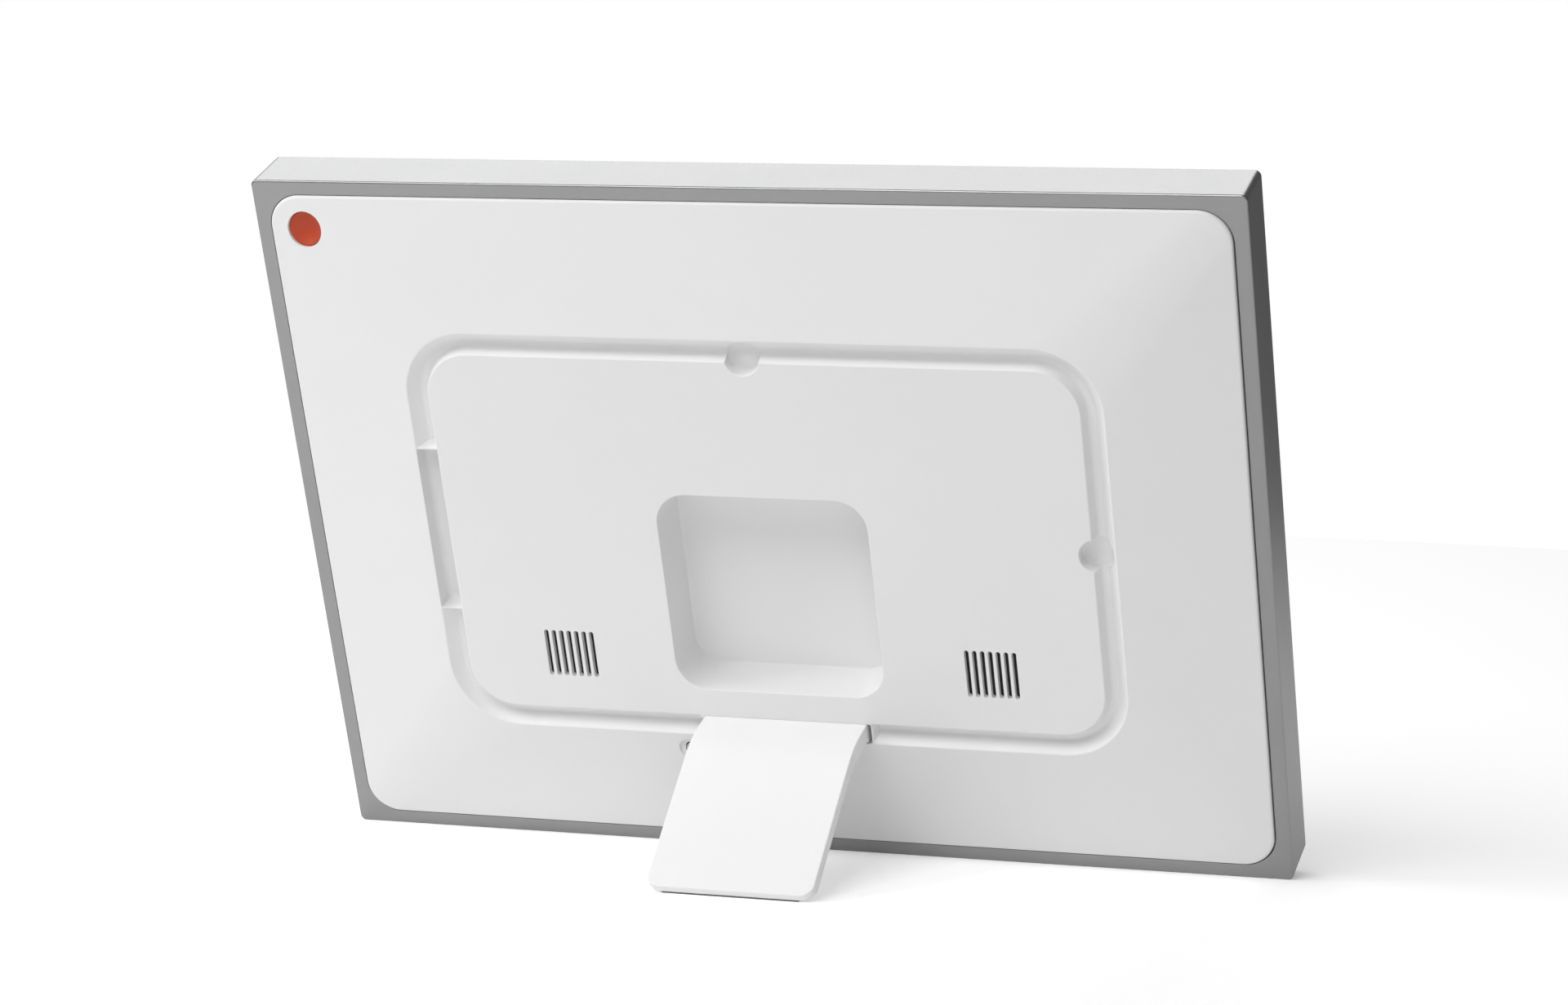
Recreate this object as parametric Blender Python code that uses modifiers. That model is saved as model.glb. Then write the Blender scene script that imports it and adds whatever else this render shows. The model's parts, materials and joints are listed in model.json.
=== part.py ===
"""Digital photo frame, leaning back on its plug-in stand.

The frame is modelled upright in its own panel space and leaned back at the end:
    x  across the panel, y  towards the rear (away from the picture), z  up the panel.
    The origin of panel space is the middle of the rear bottom edge of the outer frame.
Every object hangs on the empty "panel", which tips by LEAN about x, and the whole
assembly then stands centred over the origin with its lowest point at z = 0.
"""
from math import cos, pi, radians, sin, tan

import bmesh
import bpy
from mathutils import Matrix, Vector

# ------------------------------------------------------------------ driving dimensions (m)
FRAME_W = 0.2900
FRAME_H = 0.2114
FRAME_D = 0.0183
FRAME_CORNER_R = 0.0018
EDGE = 0.0005
LEAN = radians(20.0)
GAP = 0.0003

RIM_W = 0.00435
RIM_DEPTH = 0.0015
WALL_W = 0.00595
LIP_W = 0.0150
LIP_T = 0.0020

COVER_GAP = 0.00035
COVER_R = 0.0095
COVER_EDGE_Y = 0.0008
COVER_FOOT_Y = -0.0012
COVER_T = 0.0018
COVER_WALL = 0.0027
PLATEAU_Y = 0.0080

GROOVE_HALF_X = 0.1029
GROOVE_LOW_Z = 0.0418
GROOVE_HIGH_Z = 0.1685
GROOVE_R = 0.0200
GROOVE_W = 0.0065
GROOVE_DEPTH = 0.0035
GROOVE_OUTER_SLOPE = 0.0033
GROOVE_INNER_SLOPE = 0.0013

RECESS_SIZE = 0.0630
RECESS_Z = 0.0884
RECESS_R = 0.0095
RECESS_DEPTH = 0.0150
RECESS_DRAFT = 0.0012

SLOT_L = 0.0515
SLOT_DEPTH = 0.0055
RIB_T = 0.0007
RIB_RAMP = 0.0012
RIB_DROP = 0.0003
SOCKET_R = 0.0050
SOCKET_DEPTH = 0.0042
SOCKET_BITE = 0.0040

VENT_COUNT = 7
VENT_PITCH = 0.00233
VENT_W = 0.00135
VENT_L = 0.0150
VENT_X = 0.0638
VENT_Z = 0.0666

BUTTON_X = 0.1295
BUTTON_Y = 0.0021
BUTTON_Z = 0.1973
BUTTON_TILT = 0.0874
BUTTON_HOLE_R = 0.0053
BUTTON_TRAVEL = 0.0005

PORT_X = 0.0279
PORT_Z = 0.0360
PORT_W = 0.0090
PORT_H = 0.0032

STAND_W = 0.0495
STAND_T = 0.00385
STAND_ANGLE = radians(22.5)
STAND_BEND_R = 0.0300
STAND_BEND_Y = 0.0212
NECK_T = 0.0052
NECK_SLOT_T = 0.0059
TOE_END_H = 0.0024
TOE_R = 0.0040
PAD_T = 0.00035

GLASS_T = 0.0015
MAT_T = 0.0008
ACTIVE_W = 0.2170
ACTIVE_H = 0.1360
LCD_W = 0.2290
LCD_H = 0.1490
LCD_T = 0.0012
BACKLIGHT_T = 0.0022
CHASSIS_T = 0.0006
CHASSIS_Y = -0.0085
BOARD_T = 0.0012

MID_Z = FRAME_H / 2
CORNER_STEPS = 6

# ------------------------------------------------------------------ scene


def clear_scene():
    for obj in list(bpy.data.objects):
        bpy.data.objects.remove(obj, do_unlink=True)


def new_collection(name):
    collection = bpy.data.collections.new(name)
    bpy.context.scene.collection.children.link(collection)
    return collection


clear_scene()
PARTS = new_collection("digital_photo_frame")
CUTTERS = new_collection("cutters")


def new_empty(name, parent=None):
    empty = bpy.data.objects.new(name, None)
    CUTTERS.objects.link(empty)
    empty.parent = parent
    empty.hide_render = True
    return empty


STANDING = new_empty("standing")
PANEL = new_empty("panel", STANDING)
PANEL.rotation_euler = (-LEAN, 0, 0)


def make_material(name, colour, roughness, metallic=0.0, alpha=1.0):
    material = bpy.data.materials.new(name)
    material.use_nodes = True
    shader = material.node_tree.nodes["Principled BSDF"]
    shader.inputs["Base Color"].default_value = (*colour, 1.0)
    shader.inputs["Roughness"].default_value = roughness
    shader.inputs["Metallic"].default_value = metallic
    shader.inputs["Alpha"].default_value = alpha
    return material


SILVER = make_material("satin_silver", (0.62, 0.62, 0.63), 0.38, 0.9)
WHITE = make_material("white_plastic", (0.86, 0.86, 0.86), 0.55)
ORANGE = make_material("button_orange", (0.72, 0.13, 0.05), 0.45)
GLASS = make_material("clear_glass", (0.90, 0.93, 0.93), 0.04, alpha=0.35)
MAT_CARD = make_material("mat_card", (0.84, 0.83, 0.79), 0.85)
SCREEN = make_material("screen_black", (0.02, 0.02, 0.025), 0.20)
TIN = make_material("tinned_steel", (0.60, 0.61, 0.62), 0.35, 1.0)
CIRCUIT = make_material("circuit_green", (0.03, 0.16, 0.08), 0.50)
BLACK = make_material("black_plastic", (0.03, 0.03, 0.03), 0.50)
MESH_CLOTH = make_material("vent_cloth", (0.04, 0.04, 0.045), 0.90)
RUBBER = make_material("grey_rubber", (0.16, 0.16, 0.17), 0.80)
LEAD_SKIN = make_material("lead_sheath", (0.10, 0.10, 0.11), 0.60)
RIBBON = make_material("ribbon_film", (0.50, 0.33, 0.12), 0.40)
CARD_CONE = make_material("speaker_paper", (0.08, 0.08, 0.08), 0.85)
LIGHT_GUIDE = make_material("light_guide", (0.78, 0.80, 0.82), 0.30)


def add_object(name, mesh, location, material=None, cutter=False):
    """Put a mesh into panel space, as a part or as a cutter."""
    obj = bpy.data.objects.new(name, mesh)
    (CUTTERS if cutter else PARTS).objects.link(obj)
    obj.parent = PANEL
    obj.location = location
    if cutter:
        obj.hide_render = True
        obj.display_type = "WIRE"
    else:
        mesh.materials.append(material)
        mesh.shade_smooth()
        mesh.set_sharp_from_angle(angle=radians(30))
    return obj


def boolean(obj, other, operation):
    modifier = obj.modifiers.new(other.name, "BOOLEAN")
    modifier.operation = operation
    modifier.solver = "EXACT"
    modifier.object = other


def cut(obj, *cutters):
    for cutter in cutters:
        boolean(obj, cutter, "DIFFERENCE")


def join(obj, *additions):
    for addition in additions:
        boolean(obj, addition, "UNION")


def bevel_edges(obj, width, segments=1, angle=40):
    modifier = obj.modifiers.new("edges", "BEVEL")
    modifier.width = width
    modifier.segments = segments
    modifier.limit_method = "ANGLE"
    modifier.angle_limit = radians(angle)


# ------------------------------------------------------------------ shape tools


def mesh_from(bm, name):
    mesh = bpy.data.meshes.new(name)
    bm.to_mesh(mesh)
    bm.free()
    return mesh


def add_block(bm, low, high, corner_r=0.0, steps=CORNER_STEPS):
    """Add a box from low to high, with its four edges along y rounded."""
    made = bmesh.ops.create_cube(bm, size=1.0)["verts"]
    for vert in made:
        vert.co = Vector([low[i] + (vert.co[i] + 0.5) * (high[i] - low[i]) for i in range(3)])
    if corner_r:
        edges = {edge for vert in made for edge in vert.link_edges}
        along_y = [e for e in edges if abs(e.verts[0].co.y - e.verts[1].co.y) > 1e-6]
        bmesh.ops.bevel(bm, geom=along_y, offset=corner_r, segments=steps, affect="EDGES", profile=0.5)


def block(name, low, high, material=None, corner_r=0.0, steps=CORNER_STEPS, cutter=False):
    """A box between two corners, whose object sits at the box's centre."""
    centre = [(low[i] + high[i]) / 2 for i in range(3)]
    bm = bmesh.new()
    half = [(high[i] - low[i]) / 2 for i in range(3)]
    add_block(bm, [-h for h in half], half, corner_r, steps)
    return add_object(name, mesh_from(bm, name), centre, material, cutter)


def outline(low_x, high_x, low_z, high_z, radius, steps=CORNER_STEPS):
    """Points (x, z) of a rounded rectangle, anticlockwise from its right side."""
    corners = (
        (high_x - radius, high_z - radius, 0),
        (low_x + radius, high_z - radius, 90),
        (low_x + radius, low_z + radius, 180),
        (high_x - radius, low_z + radius, 270),
    )
    points = []
    for centre_x, centre_z, start in corners:
        for step in range(steps + 1):
            angle = radians(start + 90 * step / steps)
            points.append((centre_x + radius * cos(angle), centre_z + radius * sin(angle)))
    return points


def inset_outline(half_x, low_z, high_z, radius, inset):
    return outline(-half_x + inset, half_x - inset, low_z + inset, high_z - inset, radius - inset)


def loft(name, sections, material=None, ring=False, cutter=False):
    """A skin between outlines (points, y) of equal length: capped, or closed on itself as a ring."""
    bm = bmesh.new()
    rows = [[bm.verts.new((x, y, z)) for x, z in points] for points, y in sections]
    pairs = list(zip(rows, rows[1:]))
    if ring:
        pairs.append((rows[-1], rows[0]))
    else:
        bm.faces.new(rows[0])
        bm.faces.new(rows[-1])
    for low, high in pairs:
        for i, vert in enumerate(low):
            j = (i + 1) % len(low)
            bm.faces.new((vert, low[j], high[j], high[i]))
    bmesh.ops.recalc_face_normals(bm, faces=bm.faces)
    return add_object(name, mesh_from(bm, name), (0, 0, 0), material, cutter)


def along_rear(direction=(0, 1, 0)):
    """Rotation that turns an object's z axis to a direction in panel space."""
    return Vector(direction).to_track_quat("Z", "Y").to_euler()


def cylinder(name, radius, place, low, high, direction=(0, 1, 0), sides=24, cutter=True, material=None):
    """A cylinder along a direction, from low to high as measured from its place."""
    bm = bmesh.new()
    bmesh.ops.create_cone(
        bm, cap_ends=True, segments=sides, radius1=radius, radius2=radius, depth=high - low,
        matrix=Matrix.Translation((0, 0, (low + high) / 2)),
    )
    obj = add_object(name, mesh_from(bm, name), place, material, cutter)
    obj.rotation_euler = along_rear(direction)
    return obj


def turned(name, profile, place, material, direction=(0, 1, 0), steps=12, closed=False):
    """A turned piece: the profile (radius, height) runs from the top down its outer side."""
    mesh = bpy.data.meshes.new(name)
    count = len(profile)
    edges = [(i, i + 1) for i in range(count - 1)]
    if closed:
        edges.append((count - 1, 0))
    mesh.from_pydata([(radius, 0, height) for radius, height in profile], edges, [])
    obj = add_object(name, mesh, place, material)
    obj.rotation_euler = along_rear(direction)
    screw = obj.modifiers.new("turn", "SCREW")
    screw.axis = "Z"
    screw.angle = 2 * pi
    screw.steps = steps
    screw.render_steps = steps
    screw.use_merge_vertices = True
    screw.merge_threshold = 0.00001
    return obj


def smooth_points(points, per_span=3):
    """Points along a smooth curve through the given points (Catmull-Rom)."""
    path = [Vector(p) for p in points]
    path = [2 * path[0] - path[1]] + path + [2 * path[-1] - path[-2]]
    result = []
    for a, b, c, d in zip(path, path[1:], path[2:], path[3:]):
        for step in range(per_span):
            t = step / per_span
            result.append(0.5 * (2 * b + (c - a) * t + (2 * a - 5 * b + 4 * c - d) * t * t
                                 + (3 * b - 3 * c + d - a) * t ** 3))
    result.append(path[-2])
    return result


def lead(name, points, radius=0.0006):
    """A wire inside the casing, as a round tube along a smooth curve."""
    curve = bpy.data.curves.new(name, "CURVE")
    curve.dimensions = "3D"
    curve.bevel_depth = radius
    curve.bevel_resolution = 1
    curve.use_fill_caps = True
    spline = curve.splines.new("POLY")
    route = smooth_points(points)
    spline.points.add(len(route) - 1)
    for target, source in zip(spline.points, route):
        target.co = (*source, 1.0)
    curve.materials.append(LEAD_SKIN)
    obj = bpy.data.objects.new(name, curve)
    PARTS.objects.link(obj)
    obj.parent = PANEL
    return obj


def screw_fastener(name, place, length, direction=(0, 1, 0), shank_r=0.0010):
    """A small pan-head screw with its head seated at its place and a round drive recess."""
    head_r = 1.9 * shank_r
    head_t = 1.2 * shank_r
    profile = (
        (0.0, 0.4 * head_t),
        (0.45 * head_r, 0.5 * head_t),
        (0.45 * head_r, head_t),
        (0.75 * head_r, head_t),
        (head_r, 0.5 * head_t),
        (head_r, 0.0),
        (shank_r, 0.0),
        (shank_r, -length + shank_r),
        (0.0, -length),
    )
    return turned(name, profile, place, TIN, direction, steps=8)


# ------------------------------------------------------------------ outer frame
POCKET_HALF_X = FRAME_W / 2 - WALL_W
POST_INSET = 0.0092
POST_X = FRAME_W / 2 - POST_INSET
POST_HALF = 0.0045
POST_INNER = 0.0026
POST_OUTER = 0.0035
POST_RISE = 0.0700
POST_POINTS = (
    (POST_X, MID_Z - POST_RISE), (POST_X, MID_Z + POST_RISE),
    (-POST_X, MID_Z - POST_RISE), (-POST_X, MID_Z + POST_RISE),
    (0.0, POST_INSET), (0.0, FRAME_H - POST_INSET),
)
PILOT_R = 0.00135


def build_outer_frame():
    frame = block(
        "outer_frame", (-FRAME_W / 2, -FRAME_D, 0), (FRAME_W / 2, 0, FRAME_H), SILVER,
        FRAME_CORNER_R, 3,
    )
    bevel_edges(frame, EDGE)
    rim = (FRAME_W / 2 - RIM_W, RIM_W, FRAME_H - RIM_W)
    wall = (POCKET_HALF_X, WALL_W, FRAME_H - WALL_W)
    lip = (FRAME_W / 2 - LIP_W, LIP_W, FRAME_H - LIP_W)
    above = 0.005
    rebate = block("frame_rebate", (-rim[0], -RIM_DEPTH, rim[1]), (rim[0], above, rim[2]),
                   None, COVER_R + COVER_GAP, cutter=True)
    pocket = block("frame_pocket", (-wall[0], -FRAME_D + LIP_T, wall[1]), (wall[0], above, wall[2]),
                   None, COVER_R - 0.001, cutter=True)
    window = block("frame_window", (-lip[0], -FRAME_D - above, lip[1]), (lip[0], above, lip[2]),
                   None, 0.0008, 2, cutter=True)
    cut(frame, rebate, pocket, window)
    for number, (x, z) in enumerate(POST_POINTS, 1):
        if x:
            side = 1 if x > 0 else -1
            inner, outer = x - side * POST_INNER, x + side * POST_OUTER
            low = (min(inner, outer), z - POST_HALF)
            high = (max(inner, outer), z + POST_HALF)
        else:
            side = 1 if z > MID_Z else -1
            inner, outer = z - side * POST_INNER, z + side * POST_OUTER
            low = (-POST_HALF, min(inner, outer))
            high = (POST_HALF, max(inner, outer))
        post = block(f"frame_post_{number}", (low[0], -FRAME_D + LIP_T - 0.0005, low[1]),
                     (high[0], CHASSIS_Y - 0.0004, high[1]), cutter=True)
        pilot = cylinder(f"frame_pilot_{number}", PILOT_R, (x, CHASSIS_Y, z), -0.0062, 0.003, sides=12)
        join(frame, post)
        cut(frame, pilot)
    return frame


# ------------------------------------------------------------------ picture stack
LIP_INNER_Y = -FRAME_D + LIP_T
GLASS_Y = LIP_INNER_Y + GAP
MAT_Y = GLASS_Y + GLASS_T + GAP
LCD_Y = MAT_Y + MAT_T + GAP
BACKLIGHT_Y = LCD_Y + LCD_T + GAP
GLASS_OVERLAP = 0.0025
GLASS_HALF_X = FRAME_W / 2 - LIP_W + GLASS_OVERLAP
GLASS_LOW_Z = LIP_W - GLASS_OVERLAP


def build_picture_stack():
    high_z = FRAME_H - GLASS_LOW_Z
    block("front_glass", (-GLASS_HALF_X, GLASS_Y, GLASS_LOW_Z), (GLASS_HALF_X, GLASS_Y + GLASS_T, high_z),
          GLASS, 0.0015, 3)
    mat = block("mat_board", (-GLASS_HALF_X, MAT_Y, GLASS_LOW_Z), (GLASS_HALF_X, MAT_Y + MAT_T, high_z),
                MAT_CARD, 0.0015, 3)
    active = block("mat_window", (-ACTIVE_W / 2, MAT_Y - 0.002, MID_Z - ACTIVE_H / 2),
                   (ACTIVE_W / 2, MAT_Y + 0.004, MID_Z + ACTIVE_H / 2), cutter=True)
    cut(mat, active)
    low_z, top_z = MID_Z - LCD_H / 2, MID_Z + LCD_H / 2
    block("lcd_panel", (-LCD_W / 2, LCD_Y, low_z), (LCD_W / 2, LCD_Y + LCD_T, top_z), SCREEN, 0.001, 2)
    block("backlight_unit", (-LCD_W / 2, BACKLIGHT_Y, low_z), (LCD_W / 2, BACKLIGHT_Y + BACKLIGHT_T, top_z),
          LIGHT_GUIDE, 0.002, 3)


# ------------------------------------------------------------------ chassis plate
CHASSIS_REAR = CHASSIS_Y + CHASSIS_T
BOARD_LOW = (-0.0880, 0.0840)
BOARD_HIGH = (-0.0380, 0.1500)
STANDOFF_H = 0.0027
BOARD_Y = CHASSIS_REAR + STANDOFF_H + 2 * GAP
BOARD_REAR = BOARD_Y + BOARD_T
BOARD_FIX = 0.0040
BOARD_POINTS = tuple(
    (x, z)
    for x in (BOARD_LOW[0] + BOARD_FIX, BOARD_HIGH[0] - BOARD_FIX)
    for z in (BOARD_LOW[1] + BOARD_FIX, BOARD_HIGH[1] - BOARD_FIX)
)
BUTTON_BOARD_LOW = (0.1200, 0.1885)
BUTTON_BOARD_HIGH = (0.1340, 0.2015)
BUTTON_FIX_POINTS = ((0.1225, 0.1990), (0.1225, 0.1910))
RIBBON_X = (-0.0740, -0.0520)
RIBBON_SLOT_Z = 0.0715
LEAD_HOLE = (-0.1190, 0.0900)


def build_chassis():
    edge = 0.0067
    plate = block("chassis_plate", (-FRAME_W / 2 + edge, CHASSIS_Y, edge),
                  (FRAME_W / 2 - edge, CHASSIS_REAR, FRAME_H - edge), TIN, 0.008, 6)
    clear = 0.0030
    half = RECESS_SIZE / 2 + clear
    recess_window = block("chassis_window", (-half, CHASSIS_Y - 0.002, RECESS_Z - half),
                          (half, CHASSIS_REAR + 0.002, RECESS_Z + half), None, 0.012, 6, cutter=True)
    ribbon_slot = block("chassis_ribbon_slot",
                        (RIBBON_X[0] - 0.001, CHASSIS_Y - 0.002, RIBBON_SLOT_Z - 0.0025),
                        (RIBBON_X[1] + 0.001, CHASSIS_REAR + 0.002, RIBBON_SLOT_Z + 0.0025),
                        None, 0.001, 2, cutter=True)
    lead_hole = cylinder("chassis_lead_hole", 0.0025, (LEAD_HOLE[0], CHASSIS_Y, LEAD_HOLE[1]),
                         -0.002, 0.003, sides=12)
    cut(plate, recess_window, ribbon_slot, lead_hole)
    for number, (x, z) in enumerate(POST_POINTS + BUTTON_FIX_POINTS, 1):
        cut(plate, cylinder(f"chassis_hole_{number}", PILOT_R, (x, CHASSIS_Y, z), -0.002, 0.003, sides=12))
    for number, (x, z) in enumerate(POST_POINTS, 1):
        screw_fastener(f"chassis_screw_{number}", (x, CHASSIS_REAR + GAP, z), 0.0055)


# ------------------------------------------------------------------ rear cover
COVER_HALF_X = FRAME_W / 2 - RIM_W - COVER_GAP
COVER_LOW_Z = RIM_W + COVER_GAP
COVER_HIGH_Z = FRAME_H - COVER_LOW_Z
BACKING_Y = PLATEAU_Y - 0.0010
GROOVE_FLOOR_Y = PLATEAU_Y - GROOVE_DEPTH
SLOT_FLOOR_Y = PLATEAU_Y - SLOT_DEPTH
SOCKET_FLOOR_Y = PLATEAU_Y - SOCKET_DEPTH
RECESS_FLOOR_Y = PLATEAU_Y - RECESS_DEPTH
ABOVE = PLATEAU_Y + 0.004
PLATEAU_HALF_X = GROOVE_HALF_X - GROOVE_W
PLATEAU_HIGH_Z = GROOVE_HIGH_Z - GROOVE_W
SOCKETS = {
    "top": (0.0, PLATEAU_HIGH_Z - SOCKET_BITE + SOCKET_R),
    "side": (-PLATEAU_HALF_X + SOCKET_BITE - SOCKET_R, MID_Z),
}
BUTTON_AXIS = (BUTTON_TILT, 1.0, BUTTON_TILT)
BUTTON_PLACE = (BUTTON_X, BUTTON_Y, BUTTON_Z)
PORT_BOSSES = ((PORT_X - 0.0105, PORT_Z - 0.0055), (PORT_X + 0.0105, PORT_Z - 0.0055))
PORT_BOARD_Y = -0.0024
TAB_HALF = 0.0050


def dome_outline(inset):
    return inset_outline(COVER_HALF_X, COVER_LOW_Z, COVER_HIGH_Z, COVER_R, inset)


def groove_outline(inset):
    return inset_outline(GROOVE_HALF_X, GROOVE_LOW_Z, GROOVE_HIGH_Z, GROOVE_R, inset)


def cover_tabs():
    """Snap tabs round the cover's edge, pointing into the frame."""
    outer = COVER_HALF_X - 0.0017
    inner = outer - 0.0014
    low_z, high_z = COVER_LOW_Z + 0.0017, COVER_HIGH_Z - 0.0017
    spans = []
    for z in (MID_Z - 0.045, MID_Z + 0.045):
        spans.append(((inner, z - TAB_HALF), (outer, z + TAB_HALF)))
        spans.append(((-outer, z - TAB_HALF), (-inner, z + TAB_HALF)))
    for x in (-0.075, 0.075):
        spans.append(((x - TAB_HALF, low_z), (x + TAB_HALF, low_z + 0.0014)))
        spans.append(((x - TAB_HALF, high_z - 0.0014), (x + TAB_HALF, high_z)))
    bm = bmesh.new()
    for low, high in spans:
        add_block(bm, (low[0], -0.0052, low[1]), (high[0], -0.0006, high[1]))
    return add_object("cover_tabs", mesh_from(bm, "cover_tabs"), (0, 0, 0), cutter=True)


def vent_cutter():
    bm = bmesh.new()
    for side in (-1, 1):
        for number in range(VENT_COUNT):
            x = side * VENT_X + (number - (VENT_COUNT - 1) / 2) * VENT_PITCH
            add_block(bm, (x - VENT_W / 2, PLATEAU_Y - 0.003, VENT_Z - VENT_L / 2),
                      (x + VENT_W / 2, ABOVE, VENT_Z + VENT_L / 2), 0.48 * VENT_W, 2)
    return add_object("vent_slots", mesh_from(bm, "vent_slots"), (0, 0, 0), cutter=True)


def cover_backing():
    """Material under the cover's sunken features, joined on before they are cut."""
    t = COVER_T
    ring = loft("backing_groove", (
        (groove_outline(-t), GROOVE_FLOOR_Y - t),
        (groove_outline(-t), BACKING_Y),
        (groove_outline(GROOVE_W + 0.004), BACKING_Y),
        (groove_outline(GROOVE_W + 0.004), GROOVE_FLOOR_Y - t),
    ), ring=True, cutter=True)
    half = RECESS_SIZE / 2 + t
    recess = block("backing_recess", (-half, RECESS_FLOOR_Y - 0.0014, RECESS_Z - half),
                   (half, BACKING_Y, RECESS_Z + half), None, RECESS_R + t, cutter=True)
    reach = SLOT_L / 2 + t
    low_slot = block("backing_slot_low",
                     (-reach, SLOT_FLOOR_Y - t, GROOVE_LOW_Z - 0.9 * t),
                     (reach, BACKING_Y, GROOVE_LOW_Z + GROOVE_W + 0.9 * t), None, 0.001, 2, cutter=True)
    side_slot = block("backing_slot_side",
                      (PLATEAU_HALF_X - 0.9 * t, SLOT_FLOOR_Y - t, MID_Z - reach),
                      (GROOVE_HALF_X + 0.9 * t, BACKING_Y, MID_Z + reach), None, 0.001, 2, cutter=True)
    sockets = [
        cylinder(f"backing_socket_{name}", SOCKET_R + t, (x, 0, z), SOCKET_FLOOR_Y - t, BACKING_Y)
        for name, (x, z) in SOCKETS.items()
    ]
    bosses = [
        cylinder(f"port_boss_{number}", 0.0026, (x, 0, z), PORT_BOARD_Y + 0.001 + GAP, 0.0045, sides=20)
        for number, (x, z) in enumerate(PORT_BOSSES, 1)
    ]
    return [ring, recess, low_slot, side_slot, *sockets, *bosses]


def groove_cutter():
    return loft("cut_groove", (
        (groove_outline(-0.004), PLATEAU_Y + 0.004),
        (groove_outline(GROOVE_OUTER_SLOPE), GROOVE_FLOOR_Y),
        (groove_outline(GROOVE_W - GROOVE_INNER_SLOPE), GROOVE_FLOOR_Y),
        (groove_outline(GROOVE_W + 0.0001), PLATEAU_Y + 0.004),
    ), ring=True, cutter=True)


def slot_ribs():
    """Thin walls across the groove at both ends of each slot, ramped on the groove's side."""
    levels = (
        (GROOVE_FLOOR_Y - 0.0005, RIB_T + RIB_RAMP),
        (GROOVE_FLOOR_Y, RIB_T + RIB_RAMP),
        (PLATEAU_Y - RIB_DROP, RIB_T),
    )
    into_slot = 0.0004
    low_z, high_z = GROOVE_LOW_Z + 0.0001, GROOVE_LOW_Z + GROOVE_W + 0.0004
    low_x, high_x = PLATEAU_HALF_X - 0.0004, GROOVE_HALF_X - 0.0001
    ribs = []
    for away in (-1, 1):
        start = away * SLOT_L / 2
        low_rows = []
        side_rows = []
        for y, reach in levels:
            near, far = sorted((start - away * into_slot, start + away * reach))
            low_rows.append((outline(near, far, low_z, high_z, 0.00005, 1), y))
            side_rows.append((outline(low_x, high_x, MID_Z + near, MID_Z + far, 0.00005, 1), y))
        ribs.append(loft(f"rib_low_{away}", low_rows, cutter=True))
        ribs.append(loft(f"rib_side_{away}", side_rows, cutter=True))
    return ribs


def cover_cutters():
    half = RECESS_SIZE / 2
    draft = RECESS_DRAFT
    recess = loft("cut_recess", (
        (outline(-half + draft, half - draft, RECESS_Z - half + draft, RECESS_Z + half - draft,
                 RECESS_R - draft), RECESS_FLOOR_Y),
        (outline(-half, half, RECESS_Z - half, RECESS_Z + half, RECESS_R), PLATEAU_Y),
        (outline(-half, half, RECESS_Z - half, RECESS_Z + half, RECESS_R), ABOVE),
    ), cutter=True)
    low_slot = block("cut_slot_low", (-SLOT_L / 2, SLOT_FLOOR_Y, GROOVE_LOW_Z),
                     (SLOT_L / 2, ABOVE, GROOVE_LOW_Z + GROOVE_W), None, 0.0004, 2, cutter=True)
    side_slot = block("cut_slot_side", (PLATEAU_HALF_X, SLOT_FLOOR_Y, MID_Z - SLOT_L / 2),
                      (GROOVE_HALF_X, ABOVE, MID_Z + SLOT_L / 2), None, 0.0004, 2, cutter=True)
    sockets = [
        cylinder(f"cut_socket_{name}", SOCKET_R, (x, 0, z), SOCKET_FLOOR_Y, ABOVE)
        for name, (x, z) in SOCKETS.items()
    ]
    button = cylinder("cut_button", BUTTON_HOLE_R, BUTTON_PLACE, -0.006, 0.004, BUTTON_AXIS)
    port = block("cut_port", (PORT_X - PORT_W / 2 - GAP, -0.001, PORT_Z - PORT_H / 2 - GAP),
                 (PORT_X + PORT_W / 2 + GAP, ABOVE, PORT_Z + PORT_H / 2 + GAP),
                 None, PORT_H / 2, 5, cutter=True)
    seat = block("cut_port_seat", (PORT_X - 0.0063, 0.0061, PORT_Z - 0.0034),
                 (PORT_X + 0.0063, ABOVE, PORT_Z + 0.0034), None, 0.0032, 6, cutter=True)
    pilots = [
        cylinder(f"cut_port_pilot_{number}", PILOT_R, (x, 0, z), -0.004, 0.0028, sides=12)
        for number, (x, z) in enumerate(PORT_BOSSES, 1)
    ]
    return [recess, low_slot, side_slot, *sockets, vent_cutter(), button, port, seat, *pilots]


def build_rear_cover():
    roll = 0.0005
    cover = loft("rear_cover", (
        (dome_outline(0), COVER_FOOT_Y),
        (dome_outline(0), COVER_EDGE_Y - roll),
        (dome_outline(roll), COVER_EDGE_Y),
        (groove_outline(0), PLATEAU_Y),
    ), WHITE)
    slope = (PLATEAU_Y - COVER_EDGE_Y) / (COVER_HALF_X - GROOVE_HALF_X)
    cavity = loft("cover_cavity", (
        (dome_outline(COVER_WALL), COVER_FOOT_Y - 0.002),
        (dome_outline(COVER_WALL), COVER_EDGE_Y + slope * COVER_WALL - COVER_T),
        (groove_outline(0), PLATEAU_Y - COVER_T),
    ), cutter=True)
    cut(cover, cavity)
    join(cover, *cover_backing(), cover_tabs())
    cut(cover, groove_cutter())
    join(cover, *slot_ribs())
    cut(cover, *cover_cutters())
    return cover


# ------------------------------------------------------------------ speakers behind the vents
MESH_T = 0.00025
SPEAKER_TOP = PLATEAU_Y - COVER_T - 2 * GAP - MESH_T - GAP


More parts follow.
